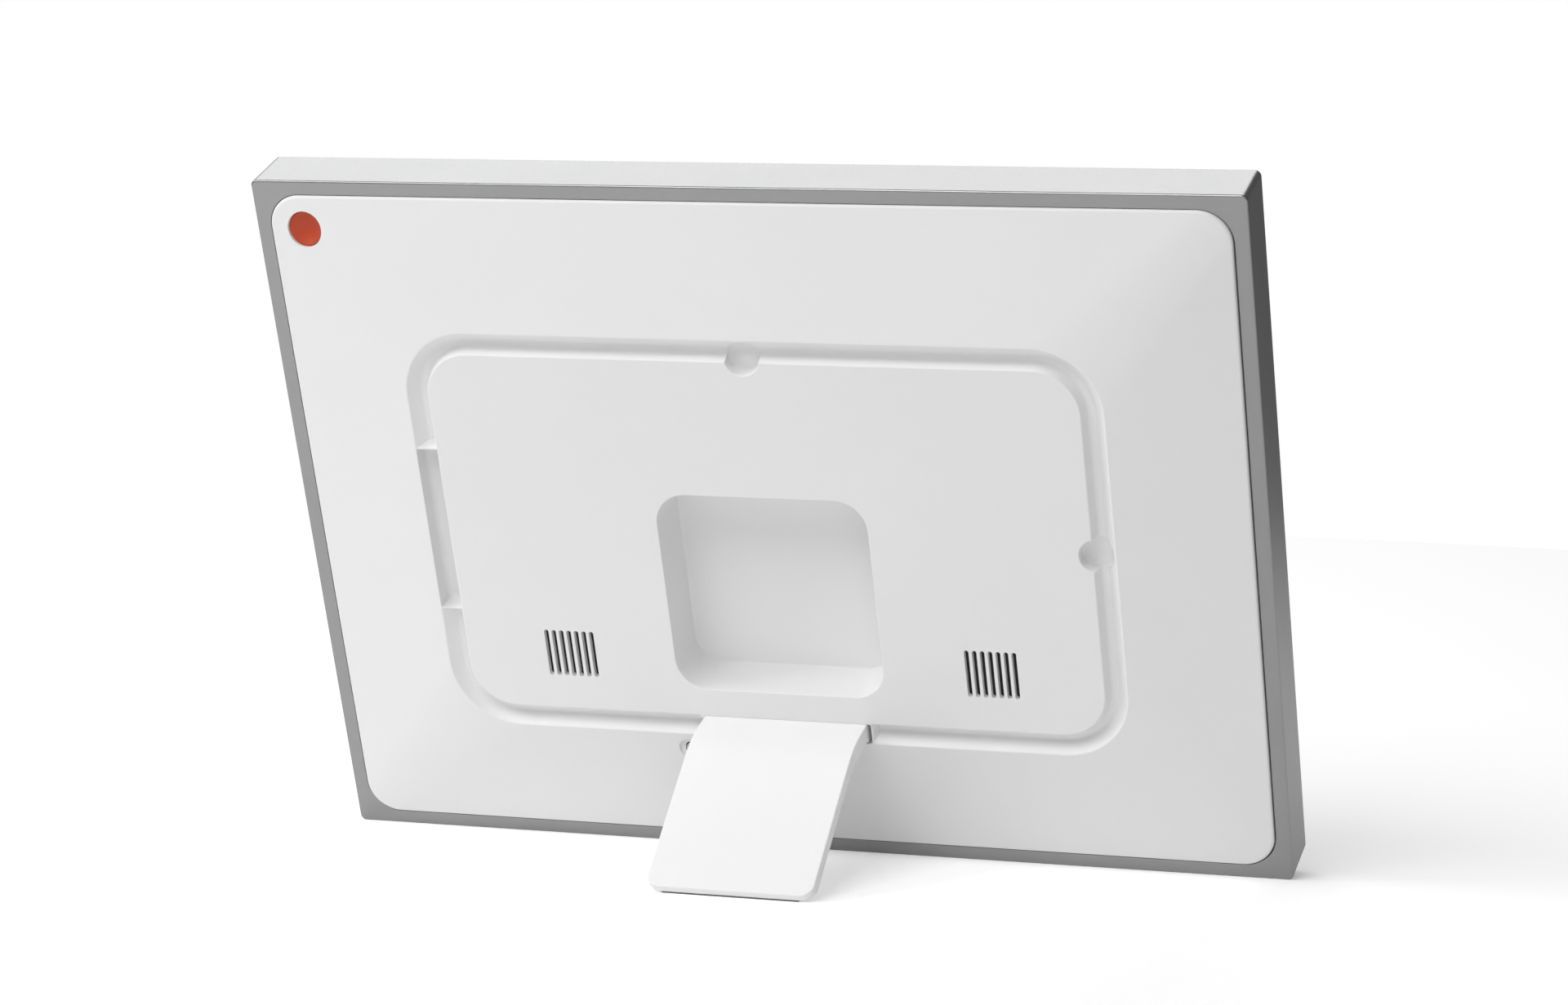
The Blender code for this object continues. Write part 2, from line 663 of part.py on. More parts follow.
def build_speakers():
    basket = (
        (0.0000, -0.0038), (0.0055, -0.0038), (0.0065, -0.0027), (0.0104, -0.0009), (0.0104, 0.0),
        (0.0115, 0.0), (0.0115, -0.0015), (0.0080, -0.0035), (0.0075, -0.0036), (0.0075, -0.0056),
        (0.0000, -0.0056),
    )
    cone = (
        (0.0000, -0.0020), (0.0034, -0.0022), (0.0096, -0.0003), (0.0100, -0.0003), (0.0100, -0.0006),
        (0.0036, -0.0026), (0.0000, -0.0024),
    )
    for side, name in ((1, "left"), (-1, "right")):
        x = side * VENT_X
        mesh_y = PLATEAU_Y - COVER_T - GAP - MESH_T
        block(f"vent_mesh_{name}", (x - 0.0100, mesh_y, VENT_Z - 0.0090),
              (x + 0.0100, mesh_y + MESH_T, VENT_Z + 0.0090), MESH_CLOTH, 0.0015, 3)
        turned(f"speaker_{name}", basket, (x, SPEAKER_TOP, VENT_Z), BLACK, steps=16)
        turned(f"speaker_cone_{name}", cone, (x, SPEAKER_TOP, VENT_Z), CARD_CONE, steps=16)


# ------------------------------------------------------------------ main board
def build_main_board():
    board = block("main_board", (BOARD_LOW[0], BOARD_Y, BOARD_LOW[1]),
                  (BOARD_HIGH[0], BOARD_REAR, BOARD_HIGH[1]), CIRCUIT, 0.0015, 3)
    standoff = ((0.00155, STANDOFF_H), (0.0024, STANDOFF_H), (0.0024, 0.0), (0.00155, 0.0))
    for number, (x, z) in enumerate(BOARD_POINTS, 1):
        turned(f"board_standoff_{number}", standoff, (x, CHASSIS_REAR + GAP, z), TIN, closed=True)
        screw_fastener(f"board_screw_{number}", (x, BOARD_REAR + GAP, z), 0.0042)
        cut(board, cylinder(f"board_hole_{number}", PILOT_R, (x, BOARD_Y, z), -0.002, 0.003, sides=12))
    top = BOARD_REAR + GAP
    can = block("shield_can", (-0.0760, top, 0.1050), (-0.0560, top + 0.0022, 0.1270), TIN, 0.0008, 2)
    bevel_edges(can, 0.0003)
    block("wifi_module", (-0.0530, top, 0.1320), (-0.0410, top + 0.0020, 0.1410), TIN, 0.0004, 2)
    block("ribbon_connector", (RIBBON_X[0] - 0.0010, top, 0.0870),
          (RIBBON_X[1] + 0.0010, top + 0.0020, 0.0910), BLACK, 0.0003, 2)
    block("antenna_strip", (-0.0560, top, 0.1600), (-0.0160, top + 0.0005, 0.1660), CIRCUIT, 0.0006, 2)
    lead("antenna_lead", (
        (-0.0470, top + 0.0010, 0.1417), (-0.0470, top + 0.0014, 0.1460), (-0.0450, top + 0.0014, 0.1530),
        (-0.0430, top + 0.0012, 0.1570), (-0.0430, top + 0.0012, 0.1593),
    ), 0.0005)


def build_ribbon():
    """Flat flexible circuit from under the screen, through the chassis, to the main board."""
    space_y = (BACKLIGHT_Y + BACKLIGHT_T + CHASSIS_Y) / 2
    end_y = BOARD_REAR + GAP + 0.0010
    foot_z = MID_Z - LCD_H / 2
    path = smooth_points((
        (0, LCD_Y + 0.0006, foot_z - 0.0004),
        (0, LCD_Y + 0.0010, foot_z - 0.0016),
        (0, space_y - 0.0006, foot_z - 0.0016),
        (0, space_y, foot_z + 0.0004),
        (0, space_y, RIBBON_SLOT_Z - 0.0060),
        (0, CHASSIS_Y + 0.0002, RIBBON_SLOT_Z),
        (0, end_y - 0.0015, RIBBON_SLOT_Z + 0.0050),
        (0, end_y, RIBBON_SLOT_Z + 0.0100),
        (0, end_y, 0.0866),
    ), 3)
    bm = bmesh.new()
    left = [bm.verts.new((RIBBON_X[0], p.y, p.z)) for p in path]
    right = [bm.verts.new((RIBBON_X[1], p.y, p.z)) for p in path]
    for i in range(len(path) - 1):
        bm.faces.new((left[i], right[i], right[i + 1], left[i + 1]))
    ribbon = add_object("lcd_ribbon", mesh_from(bm, "lcd_ribbon"), (0, 0, 0), RIBBON)
    skin = ribbon.modifiers.new("film", "SOLIDIFY")
    skin.thickness = 0.0002
    skin.offset = 0


# ------------------------------------------------------------------ power button
def build_button():
    cap = (
        (0.0000, -0.0021), (0.0018, -0.0020), (0.0034, -0.0016), (0.0044, -0.0010), (0.0049, -0.0008),
        (0.0050, -0.0010), (0.0050, -0.0024), (0.0058, -0.0024), (0.0058, -0.0032), (0.0000, -0.0032),
    )
    turned("power_button", cap, BUTTON_PLACE, ORANGE, BUTTON_AXIS, steps=24)
    low_y = CHASSIS_REAR + GAP
    board_top = low_y + 0.0010
    board = block("button_board", (BUTTON_BOARD_LOW[0], low_y, BUTTON_BOARD_LOW[1]),
                  (BUTTON_BOARD_HIGH[0], board_top, BUTTON_BOARD_HIGH[1]), CIRCUIT, 0.0010, 2)
    for number, (x, z) in enumerate(BUTTON_FIX_POINTS, 1):
        cut(board, cylinder(f"button_hole_{number}", PILOT_R, (x, low_y, z), -0.002, 0.003, sides=12))
        screw_fastener(f"button_screw_{number}", (x, board_top + GAP, z), 0.0030)
    foot = board_top + 0.0002
    switch = block("button_switch", (BUTTON_X - 0.0031, foot, BUTTON_Z - 0.0036),
                   (BUTTON_X + 0.0029, foot + 0.0032, BUTTON_Z + 0.0024), BLACK, 0.0004, 2)
    stem = cylinder("button_switch_stem", 0.0016, (BUTTON_X - 0.0004, foot, BUTTON_Z - 0.0004),
                    0.0030, 0.0042, sides=12)
    join(switch, stem)


# ------------------------------------------------------------------ power port
def build_port():
    y0 = PORT_BOARD_Y
    board = block("port_board", (PORT_X - 0.0135, y0, PORT_Z - 0.0090),
                  (PORT_X + 0.0135, y0 + 0.0010, PORT_Z + 0.0030), CIRCUIT, 0.0010, 2)
    for number, (x, z) in enumerate(PORT_BOSSES, 1):
        cut(board, cylinder(f"port_hole_{number}", PILOT_R, (x, y0, z), -0.002, 0.003, sides=12))
        screw_fastener(f"port_screw_{number}", (x, y0 - GAP, z), 0.0046, (0, -1, 0))
    base = y0 + 0.0010 + 0.0002
    mouth = 0.0060
    shell = block("power_port", (PORT_X - PORT_W / 2, base, PORT_Z - PORT_H / 2),
                  (PORT_X + PORT_W / 2, mouth, PORT_Z + PORT_H / 2), TIN, 0.48 * PORT_H, 5)
    wall = 0.00035
    hollow = block("port_hollow", (PORT_X - PORT_W / 2 + wall, base + 0.0008, PORT_Z - PORT_H / 2 + wall),
                   (PORT_X + PORT_W / 2 - wall, mouth + 0.003, PORT_Z + PORT_H / 2 - wall),
                   None, 0.46 * (PORT_H - 2 * wall), 5, cutter=True)
    cut(shell, hollow)
    block("port_tongue", (PORT_X - 0.00335, base + 0.0010, PORT_Z - 0.00035),
          (PORT_X + 0.00335, mouth - 0.0008, PORT_Z + 0.00035), BLACK, 0.0001, 1)


# ------------------------------------------------------------------ leads and their plugs
def build_leads():
    top = BOARD_REAR + GAP
    wire_y = top + 0.0010
    right_edge = BOARD_LOW[0]
    left_edge = BOARD_HIGH[0]
    plug = 0.0045
    plugs = {
        "plug_backlight": (right_edge + 0.0006, 0.1380),
        "plug_speaker_right": (right_edge + 0.0006, 0.0960),
        "plug_port": (left_edge - plug - 0.0006, 0.0945),
        "plug_speaker_left": (left_edge - plug - 0.0006, 0.1060),
        "plug_button": (left_edge - plug - 0.0006, 0.1190),
    }
    for name, (x, z) in plugs.items():
        block(name, (x, top, z), (x + plug, top + 0.0022, z + plug), BLACK, 0.0003, 2)
    mid = plug / 2
    out_right = right_edge
    out_left = left_edge
    turn = 0.0014
    passage_y = CHASSIS_REAR + 0.0014
    lead("backlight_lead", (
        (-LCD_W / 2 - GAP, BACKLIGHT_Y + 0.0011, LEAD_HOLE[1]),
        (LEAD_HOLE[0] + 0.0008, BACKLIGHT_Y + 0.0016, LEAD_HOLE[1]),
        (LEAD_HOLE[0], CHASSIS_Y + 0.0003, LEAD_HOLE[1]),
        (LEAD_HOLE[0] + 0.0008, passage_y, LEAD_HOLE[1] + 0.004),
        (-0.1120, passage_y, 0.1200),
        (-0.0980, passage_y + 0.0010, 0.1390),
        (out_right - turn, wire_y, 0.1380 + mid), (out_right, wire_y, 0.1380 + mid),
    ))
    speaker_back = SPEAKER_TOP - 0.0046
    lead("speaker_lead_right", (
        (-VENT_X - 0.0079, speaker_back, VENT_Z), (-0.0800, -0.0022, 0.0720),
        (-0.0915, -0.0026, 0.0850), (-0.0925, wire_y, 0.0940),
        (out_right - turn, wire_y, 0.0960 + mid), (out_right, wire_y, 0.0960 + mid),
    ))
    below = RECESS_Z - RECESS_SIZE / 2 - 0.0120
    lead("speaker_lead_left", (
        (VENT_X - 0.0079, speaker_back, VENT_Z), (0.0480, -0.0040, 0.0600), (0.0360, -0.0066, below),
        (0.0000, -0.0066, below + 0.0010), (-0.0310, -0.0066, below + 0.0030), (-0.0352, -0.0060, 0.0620),
        (-0.0350, -0.0055, 0.0880), (-0.0350, -0.0030, 0.1020),
        (out_left + turn, wire_y, 0.1060 + mid), (out_left, wire_y, 0.1060 + mid),
    ))
    lead("port_lead", (
        (PORT_X, PORT_BOARD_Y - 0.0009, PORT_Z - 0.0050), (PORT_X - 0.0060, -0.0058, PORT_Z - 0.0010),
        (0.0000, -0.0064, 0.0360), (-0.0280, -0.0064, 0.0400), (-0.0370, -0.0062, 0.0540),
        (-0.0370, -0.0058, 0.0750), (-0.0369, -0.0040, 0.0880),
        (out_left + turn, wire_y, 0.0945 + mid), (out_left, wire_y, 0.0945 + mid),
    ))
    above = RECESS_Z + RECESS_SIZE / 2 + 0.0080
    lead("button_lead", (
        (0.1196, CHASSIS_REAR + 0.0012, 0.1950), (0.1120, passage_y, 0.1930),
        (0.0600, passage_y, 0.1500), (0.0000, passage_y, above + 0.0040),
        (-0.0260, passage_y, above - 0.0020),
        (-0.0350, -0.0040, 0.1240),
        (out_left + turn, wire_y, 0.1190 + mid), (out_left, wire_y, 0.1190 + mid),
    ))


# ------------------------------------------------------------------ stand
NECK_TOP = GROOVE_LOW_Z + GROOVE_W - 0.0002
STAND_PLACE = (0.0, PLATEAU_Y, GROOVE_LOW_Z + GROOVE_W / 2)


def world_height(y, z):
    return z * cos(LEAN) - y * sin(LEAN)


def stand_profile():
    """Side view (y, z) of the leg: neck, bend, straight blade and a toe cut flat to the table."""
    along = (cos(STAND_ANGLE), -sin(STAND_ANGLE))
    inward = (-sin(STAND_ANGLE), -cos(STAND_ANGLE))
    tangent = tan(STAND_ANGLE / 2)
    bend_start = STAND_BEND_Y - STAND_BEND_R * tangent
    steps = 8
    top = [(SLOT_FLOOR_Y + GAP, NECK_TOP)]
    for step in range(steps + 1):
        angle = STAND_ANGLE * step / steps
        top.append((bend_start + STAND_BEND_R * sin(angle), NECK_TOP - STAND_BEND_R * (1 - cos(angle))))
    toe_clear = PAD_T + 0.0001 + EDGE * sin(LEAN)
    start = top[-1]
    rise = world_height(start[0] + TOE_END_H * inward[0], start[1] + TOE_END_H * inward[1]) - toe_clear
    length = rise / sin(STAND_ANGLE + LEAN)
    toe = (start[0] + length * along[0], start[1] + length * along[1])
    end = (toe[0] + TOE_END_H * inward[0], toe[1] + TOE_END_H * inward[1])
    facet = (STAND_T - TOE_END_H) / sin(STAND_ANGLE + LEAN)
    heel = (end[0] - facet * cos(LEAN), end[1] - facet * sin(LEAN))
    neck_low = NECK_TOP - NECK_T
    drop = STAND_T / cos(STAND_ANGLE)
    corner_y = STAND_BEND_Y + (NECK_T - drop) / tan(STAND_ANGLE)
    hollow_r = 0.0250
    hollow_start = corner_y - hollow_r * tangent
    under = []
    for step in range(steps + 1):
        angle = STAND_ANGLE * (1 - step / steps)
        under.append((hollow_start + hollow_r * sin(angle), neck_low - hollow_r * (1 - cos(angle))))
    slot_low = NECK_TOP - NECK_SLOT_T
    under += [(PLATEAU_Y + 0.0015, neck_low), (PLATEAU_Y - 0.0005, slot_low), (SLOT_FLOOR_Y + GAP, slot_low)]
    return top + [toe, end, heel] + under, toe, end, facet


def build_stand():
    profile, toe, end, facet = stand_profile()
    bm = bmesh.new()
    side = [bm.verts.new((-STAND_W / 2, y - STAND_PLACE[1], z - STAND_PLACE[2])) for y, z in profile]
    face = bm.faces.new(side)
    swept = bmesh.ops.extrude_face_region(bm, geom=[face])["geom"]
    moved = [item for item in swept if isinstance(item, bmesh.types.BMVert)]
    bmesh.ops.translate(bm, vec=(STAND_W, 0, 0), verts=moved)
    bmesh.ops.recalc_face_normals(bm, faces=bm.faces)
    local_toe = Vector((toe[0] - STAND_PLACE[1], toe[1] - STAND_PLACE[2]))
    local_end = Vector((end[0] - STAND_PLACE[1], end[1] - STAND_PLACE[2]))
    toe_corners = []
    for edge in bm.edges:
        a, b = (Vector((v.co.y, v.co.z)) for v in edge.verts)
        ends = {(a - local_toe).length < 1e-6, (b - local_toe).length < 1e-6}
        others = {(a - local_end).length < 1e-6, (b - local_end).length < 1e-6}
        if True in ends and True in others:
            toe_corners.append(edge)
    bmesh.ops.bevel(bm, geom=toe_corners, offset=TOE_R, segments=6, affect="EDGES", profile=0.5)
    add_object("stand_leg", mesh_from(bm, "stand_leg"), STAND_PLACE, WHITE)
    pad_centre = (end[0] - facet / 2 * cos(LEAN), end[1] - facet / 2 * sin(LEAN))
    below = 0.0001 + PAD_T / 2
    place = (0.0, pad_centre[0] + below * sin(LEAN), pad_centre[1] - below * cos(LEAN))
    pad_w = STAND_W - 2 * TOE_R - 0.001
    bm = bmesh.new()
    add_block(bm, (-pad_w / 2, -0.45 * facet, -PAD_T / 2), (pad_w / 2, 0.45 * facet, PAD_T / 2))
    pad = add_object("stand_foot_pad", mesh_from(bm, "stand_foot_pad"), place, RUBBER)
    pad.rotation_euler = (LEAN, 0, 0)


# ------------------------------------------------------------------ standing position
def stand_on_origin():
    """Move the assembly so that its box is centred over the origin and rests on z = 0."""
    bpy.context.view_layer.update()
    graph = bpy.context.evaluated_depsgraph_get()
    corners = []
    for obj in PARTS.objects:
        done = obj.evaluated_get(graph)
        mesh = done.to_mesh()
        corners += [done.matrix_world @ vert.co for vert in mesh.vertices]
        done.to_mesh_clear()
    low = Vector([min(c[i] for c in corners) for i in range(3)])
    high = Vector([max(c[i] for c in corners) for i in range(3)])
    STANDING.location = (-(low.x + high.x) / 2, -(low.y + high.y) / 2, -low.z)


build_outer_frame()
build_picture_stack()
build_chassis()
build_rear_cover()
build_speakers()
build_main_board()
build_ribbon()
build_button()
build_port()
build_leads()
build_stand()
stand_on_origin()
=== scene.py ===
"""Looks of the digital photo frame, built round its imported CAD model.

Fine pieces are made in panel space: x across the panel, y towards the rear, z up the panel, with
the origin at the middle of the rear bottom edge of the outer frame. The matrix PANEL stands that
space where the CAD model stands. Lengths are in metres. A name that ends in _R is a radius, _T a
thickness, _W a width, _H a height, _L a length, and _X, _Y or _Z a place on that axis.
"""
import json
from math import atan2, cos, pi, radians, sin, sqrt, tan

import bmesh
import bpy
from mathutils import Matrix, Vector


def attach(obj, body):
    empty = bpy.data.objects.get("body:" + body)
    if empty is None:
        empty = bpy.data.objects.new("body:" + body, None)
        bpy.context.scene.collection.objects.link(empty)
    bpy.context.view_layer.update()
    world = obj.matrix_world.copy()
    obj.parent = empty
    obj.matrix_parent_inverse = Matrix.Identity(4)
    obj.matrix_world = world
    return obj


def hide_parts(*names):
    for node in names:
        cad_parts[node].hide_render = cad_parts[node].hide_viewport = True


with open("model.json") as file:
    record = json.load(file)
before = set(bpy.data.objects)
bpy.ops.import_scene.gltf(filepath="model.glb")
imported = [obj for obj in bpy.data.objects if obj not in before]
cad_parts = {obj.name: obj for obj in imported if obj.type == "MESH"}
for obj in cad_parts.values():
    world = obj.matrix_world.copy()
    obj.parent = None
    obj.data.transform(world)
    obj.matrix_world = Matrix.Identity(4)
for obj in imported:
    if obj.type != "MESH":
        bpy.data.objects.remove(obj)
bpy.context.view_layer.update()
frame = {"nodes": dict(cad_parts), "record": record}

# ------------------------------------------------------------------ panel space
PLATEAU_Y = 0.0080
WALL_FACE_AT = Vector((0.0, PLATEAU_Y, 0.1400))


def find_panel():
    """The matrix from panel space to the world, and the lean in radians, from the wall mount's
    place and direction."""
    mount = next(m for m in frame["record"]["mounts"] if m["name"] == "wall_face")
    axis = Vector(mount["axis"])
    lean = atan2(-axis.z, axis.y)
    turn = Matrix.Rotation(-lean, 4, "X")
    return Matrix.Translation(Vector(mount["pos_m"]) - turn @ WALL_FACE_AT) @ turn, lean


PANEL, LEAN = find_panel()


def panel_box(node):
    """Lowest and highest corners of a CAD node in panel space."""
    back = PANEL.inverted()
    points = [back @ vert.co for vert in frame["nodes"][node].data.vertices]
    low = Vector([min(p[i] for p in points) for i in range(3)])
    high = Vector([max(p[i] for p in points) for i in range(3)])
    return low, high


# ------------------------------------------------------------------ sizes
# Places and main lengths are as in the CAD model, unless a comment says otherwise. The radii of
# rounded edges, the drafts and the flares are finer than the CAD model's.
FRAME_LOW, FRAME_HIGH = panel_box("outer_frame")
FRAME_HALF_X = FRAME_HIGH.x
FRAME_H = FRAME_HIGH.z
FRONT_Y = FRAME_LOW.y
MID_Z = FRAME_H / 2
FRAME_CORNER_R = 0.0018
FRAME_EDGE_R = 0.00062
EDGE = 0.0005  # the frame's bevel in the CAD model, which sets how low the stand reaches
GAP = 0.0003  # the room between two pieces
APART = 0.0001  # keeps two faces of one piece off the same plane
RIM_W = 0.00435
RIM_DEPTH = 0.0015
WALL_W = 0.00595
LIP_W = 0.0150
LIP_T = 0.0020

COVER_GAP = 0.00035
COVER_TOP_GAP = 0.0001  # tighter than in the CAD model
COVER_R = 0.0095
COVER_EDGE_Y = 0.0008
COVER_FOOT_Y = -0.0012
COVER_T = 0.0018
COVER_WALL = 0.0027
EDGE_ROLL = 0.0008

GROOVE_HALF_X = 0.1029
GROOVE_LOW_Z = 0.0418
GROOVE_HIGH_Z = 0.1685
GROOVE_R = 0.0200
GROOVE_W = 0.0065
GROOVE_FLOOR_Y = PLATEAU_Y - 0.0035
GROOVE_OUTER_SLOPE = 0.0033
GROOVE_INNER_SLOPE = 0.0013
NECK_TOP = GROOVE_LOW_Z + GROOVE_W - 0.0002  # the top of the stand's neck, in its slot

RECESS_HALF = 0.0315
RECESS_Z = 0.0884
RECESS_R = 0.0095
RECESS_DRAFT = 0.0012
RECESS_FOOT_R = 0.0006
RECESS_EDGE_R = 0.0004
RECESS_FLOOR_Y = PLATEAU_Y - 0.0150

STAND_HALF_W = 0.02475
SLOT_HALF_L = 0.02575
SLOT_FLOOR_Y = PLATEAU_Y - 0.0055
SLOT_R = 0.0004
SLOT_EDGE_R = 0.00008
SLOT_FOOT = (0.0004, 0.0016)  # radius at the foot of the low slot and of the side slot
SLOT_DRAFT = (0.0, 0.0006)  # lean of their walls; the CAD model has none
LOW_SLOT_END = STAND_HALF_W + 0.0002  # tighter on one side than in the CAD model
RIB_T = 0.0005  # 0.2 mm thinner than in the CAD model
RIB_RAMP = 0.0012
RIB_DROP = 0.0003
COLLAR_BELOW = 0.0006  # a flat edge over the stand, which the CAD model doesn't have
COLLAR_ABOVE = 0.0014
SOCKET_R = 0.0050
SOCKET_FLOOR_Y = PLATEAU_Y - 0.0042
SOCKET_FOOT_R = 0.0006
SOCKET_EDGE_R = 0.0005
SOCKET_FLARE = 0.0009
SOCKET_BITE = 0.0040
SOCKET_CLEAR = 0.0006

VENT_COUNT = 7
VENT_PITCH = 0.00233
VENT_W = 0.00135
VENT_L = 0.0150
VENT_X = 0.0638
VENT_Z = 0.0666
VENT_DEPTH = 0.003
VENT_EDGE_R = 0.00014
VENT_FLARE = 0.00025

BUTTON_AT = Vector((0.1295, 0.0021, 0.1973))
BUTTON_AXIS = Vector((0.0874, 1.0, 0.0874))
BUTTON_HOLE_R = 0.0053
BUTTON_HOLE_LOW = -0.0040
BUTTON_MOUTH_R = 0.0010
BUTTON_SURFACE = 0.0004  # the cover's height over BUTTON_AT, where the hole's mouth is
BUTTON_R = 0.00518
BUTTON_RIM_R = 0.0048
BUTTON_DISH = 0.0016
BUTTON_DISH_LOW = -0.0024
BUTTON_FLANGE_R = 0.0058
BUTTON_FLANGE_LOW = -0.0032

PORT_X = 0.0279
PORT_Z = 0.0360
PORT_W = 0.0090
PORT_H = 0.0032
PORT_SEAT_Y = 0.0061
PORT_SEAT_HALF_X = 0.0063
PORT_SEAT_HALF_Z = 0.0034
PORT_SEAT_R = 0.0032
BOSS_R = 0.0026
BOSS_DROP = 0.0055
BOSS_REACH = 0.0105
BOSS_LOW_Y = -0.0011
BOSS_HIGH_Y = 0.0045

STAND_T = 0.00385
STAND_ANGLE = radians(22.5)
STAND_BEND_R = 0.0300
STAND_BEND_Y = 0.0212
NECK_T = 0.0052
NECK_SLOT_T = 0.0059
TOE_END_H = 0.0024
TOE_R = 0.0040
PAD_T = 0.00035
STAND_SIDE_R = 0.00035

CORNER_STEPS = 20
LEAST_R = 0.00005  # a corner is never sharper than this
WELD = 0.000002  # vertices closer than this are merged
CUTTER_RISE = 0.004  # how far a cutter reaches over the surface
ABOVE = PLATEAU_Y + CUTTER_RISE


# ------------------------------------------------------------------ outlines and profiles
# A rounded rectangle is (low x, high x, low z, high z, corner radius).
def inset(rect, by):
    low_x, high_x, low_z, high_z, radius = rect
    return low_x + by, high_x - by, low_z + by, high_z - by, max(radius - by, LEAST_R)


def between(rect, other, t):
    return tuple(a + (b - a) * t for a, b in zip(rect, other))


def outline(rect, y, steps=CORNER_STEPS):
    """Points of a rounded rectangle at a height y, starting at its high x side."""
    low_x, high_x, low_z, high_z, radius = rect
    corners = (
        (high_x - radius, high_z - radius),
        (low_x + radius, high_z - radius),
        (low_x + radius, low_z + radius),
        (high_x - radius, low_z + radius),
    )
    points = []
    for number, (x, z) in enumerate(corners):
        for step in range(steps + 1):
            angle = pi / 2 * (number + step / steps)
            points.append((x + radius * cos(angle), y, z + radius * sin(angle)))
    return points


def rounded(corners, closed=False, steps=5):
    """A line through (u, v, radius) corners, with an arc of that radius at each one."""
    points = []
    count = len(corners)
    for i, (u, v, radius) in enumerate(corners):
        here = Vector((u, v))
        if radius == 0 or (not closed and i in (0, count - 1)):
            points.append(here)
            continue
        back = (Vector(corners[i - 1][:2]) - here).normalized()
        ahead = (Vector(corners[(i + 1) % count][:2]) - here).normalized()
        half = back.angle(ahead) / 2
        middle = here + (back + ahead).normalized() * (radius / sin(half))
        reach = radius / tan(half)
        start = here + back * reach - middle
        end = here + ahead * reach - middle
        turn = pi - 2 * half
        if start.cross(end) < 0:
            turn = -turn
        for step in range(steps + 1):
            points.append(middle + Matrix.Rotation(turn * step / steps, 2) @ start)
    return points


# ------------------------------------------------------------------ mesh tools
def mesh_from(bm, name):
    bmesh.ops.recalc_face_normals(bm, faces=bm.faces)
    mesh = bpy.data.meshes.new(name)
    bm.to_mesh(mesh)
    bm.free()
    return mesh


def place(name, mesh, matrix=None):
    obj = bpy.data.objects.new(name, mesh)
    bpy.context.scene.collection.objects.link(obj)
    obj.matrix_world = PANEL @ matrix if matrix else PANEL
    return obj


def add_loft(bm, rows, ring=False):
    """A skin over rows of equal length: capped at both ends, or closed on itself as a ring."""
    lines = [[bm.verts.new(point) for point in row] for row in rows]
    pairs = list(zip(lines, lines[1:]))
    if ring:
        pairs.append((lines[-1], lines[0]))
    else:
        bm.faces.new(lines[0])
        bm.faces.new(lines[-1])
    for low, high in pairs:
        for i, vert in enumerate(low):
            j = (i + 1) % len(low)
            bm.faces.new((vert, low[j], high[j], high[i]))


def lofted(name, rows, ring=False):
    bm = bmesh.new()
    add_loft(bm, rows, ring)
    return place(name, mesh_from(bm, name))


def slab(name, rect, low_y, high_y, steps=6):
    return lofted(name, [outline(rect, low_y, steps), outline(rect, high_y, steps)])


def turned_mesh(name, profile, steps):
    """A mesh turned about z from a profile of (radius, height) that starts and ends on the axis."""
    bm = bmesh.new()
    bottom = bm.verts.new((0, 0, profile[0][1]))
    top = bm.verts.new((0, 0, profile[-1][1]))
    rings = []
    for radius, height in profile[1:-1]:
        angles = [2 * pi * i / steps for i in range(steps)]
        rings.append([bm.verts.new((radius * cos(a), radius * sin(a), height)) for a in angles])
    for i in range(steps):
        j = (i + 1) % steps
        bm.faces.new((bottom, rings[0][j], rings[0][i]))
        bm.faces.new((top, rings[-1][i], rings[-1][j]))
        for low, high in zip(rings, rings[1:]):
            bm.faces.new((low[i], low[j], high[j], high[i]))
    return mesh_from(bm, name)


def aimed(at, direction=(0, 1, 0)):
    """A matrix in panel space that moves the origin to a point and turns z to a direction."""
    return Matrix.Translation(at) @ Vector(direction).to_track_quat("Z", "Y").to_matrix().to_4x4()


def rod(name, radius, x, z, low_y, high_y):
    profile = [(0, low_y), (radius, low_y), (radius, high_y), (0, high_y)]
    return place(name, turned_mesh(name, profile, 32), aimed((x, 0, z)))


def sunk(name, rect, floor_y, mouth_y, floor_r, mouth_r, draft=0.0, slope=0.0, steps=CORNER_STEPS):
    """A cutter with a rounded foot and a flared mouth. The mouth follows a surface that rises by
    slope along z from the middle of the outline."""
    lift = 0.3 * mouth_r
    path = rounded((
        (draft + 1.6 * floor_r, floor_y, 0),
        (draft, floor_y, floor_r),
        (0, mouth_y, mouth_r),
        (-2 * mouth_r, mouth_y + lift, 0),
    ))
    middle_z = (rect[2] + rect[3]) / 2
    rows = []
    for across, y in [*path, Vector((-2 * mouth_r, mouth_y + CUTTER_RISE))]:
        height = (y - floor_y) / (mouth_y - floor_y)
        row = outline(inset(rect, across), y, steps)
        rows.append([(px, py + slope * min(height, 1) * (pz - middle_z), pz) for px, py, pz in row])
    return lofted(name, rows)


def combine(obj, operation, tools):
    for tool in tools:
        modifier = obj.modifiers.new(tool.name, "BOOLEAN")
        modifier.operation = operation
        modifier.solver = "EXACT"
        modifier.object = tool


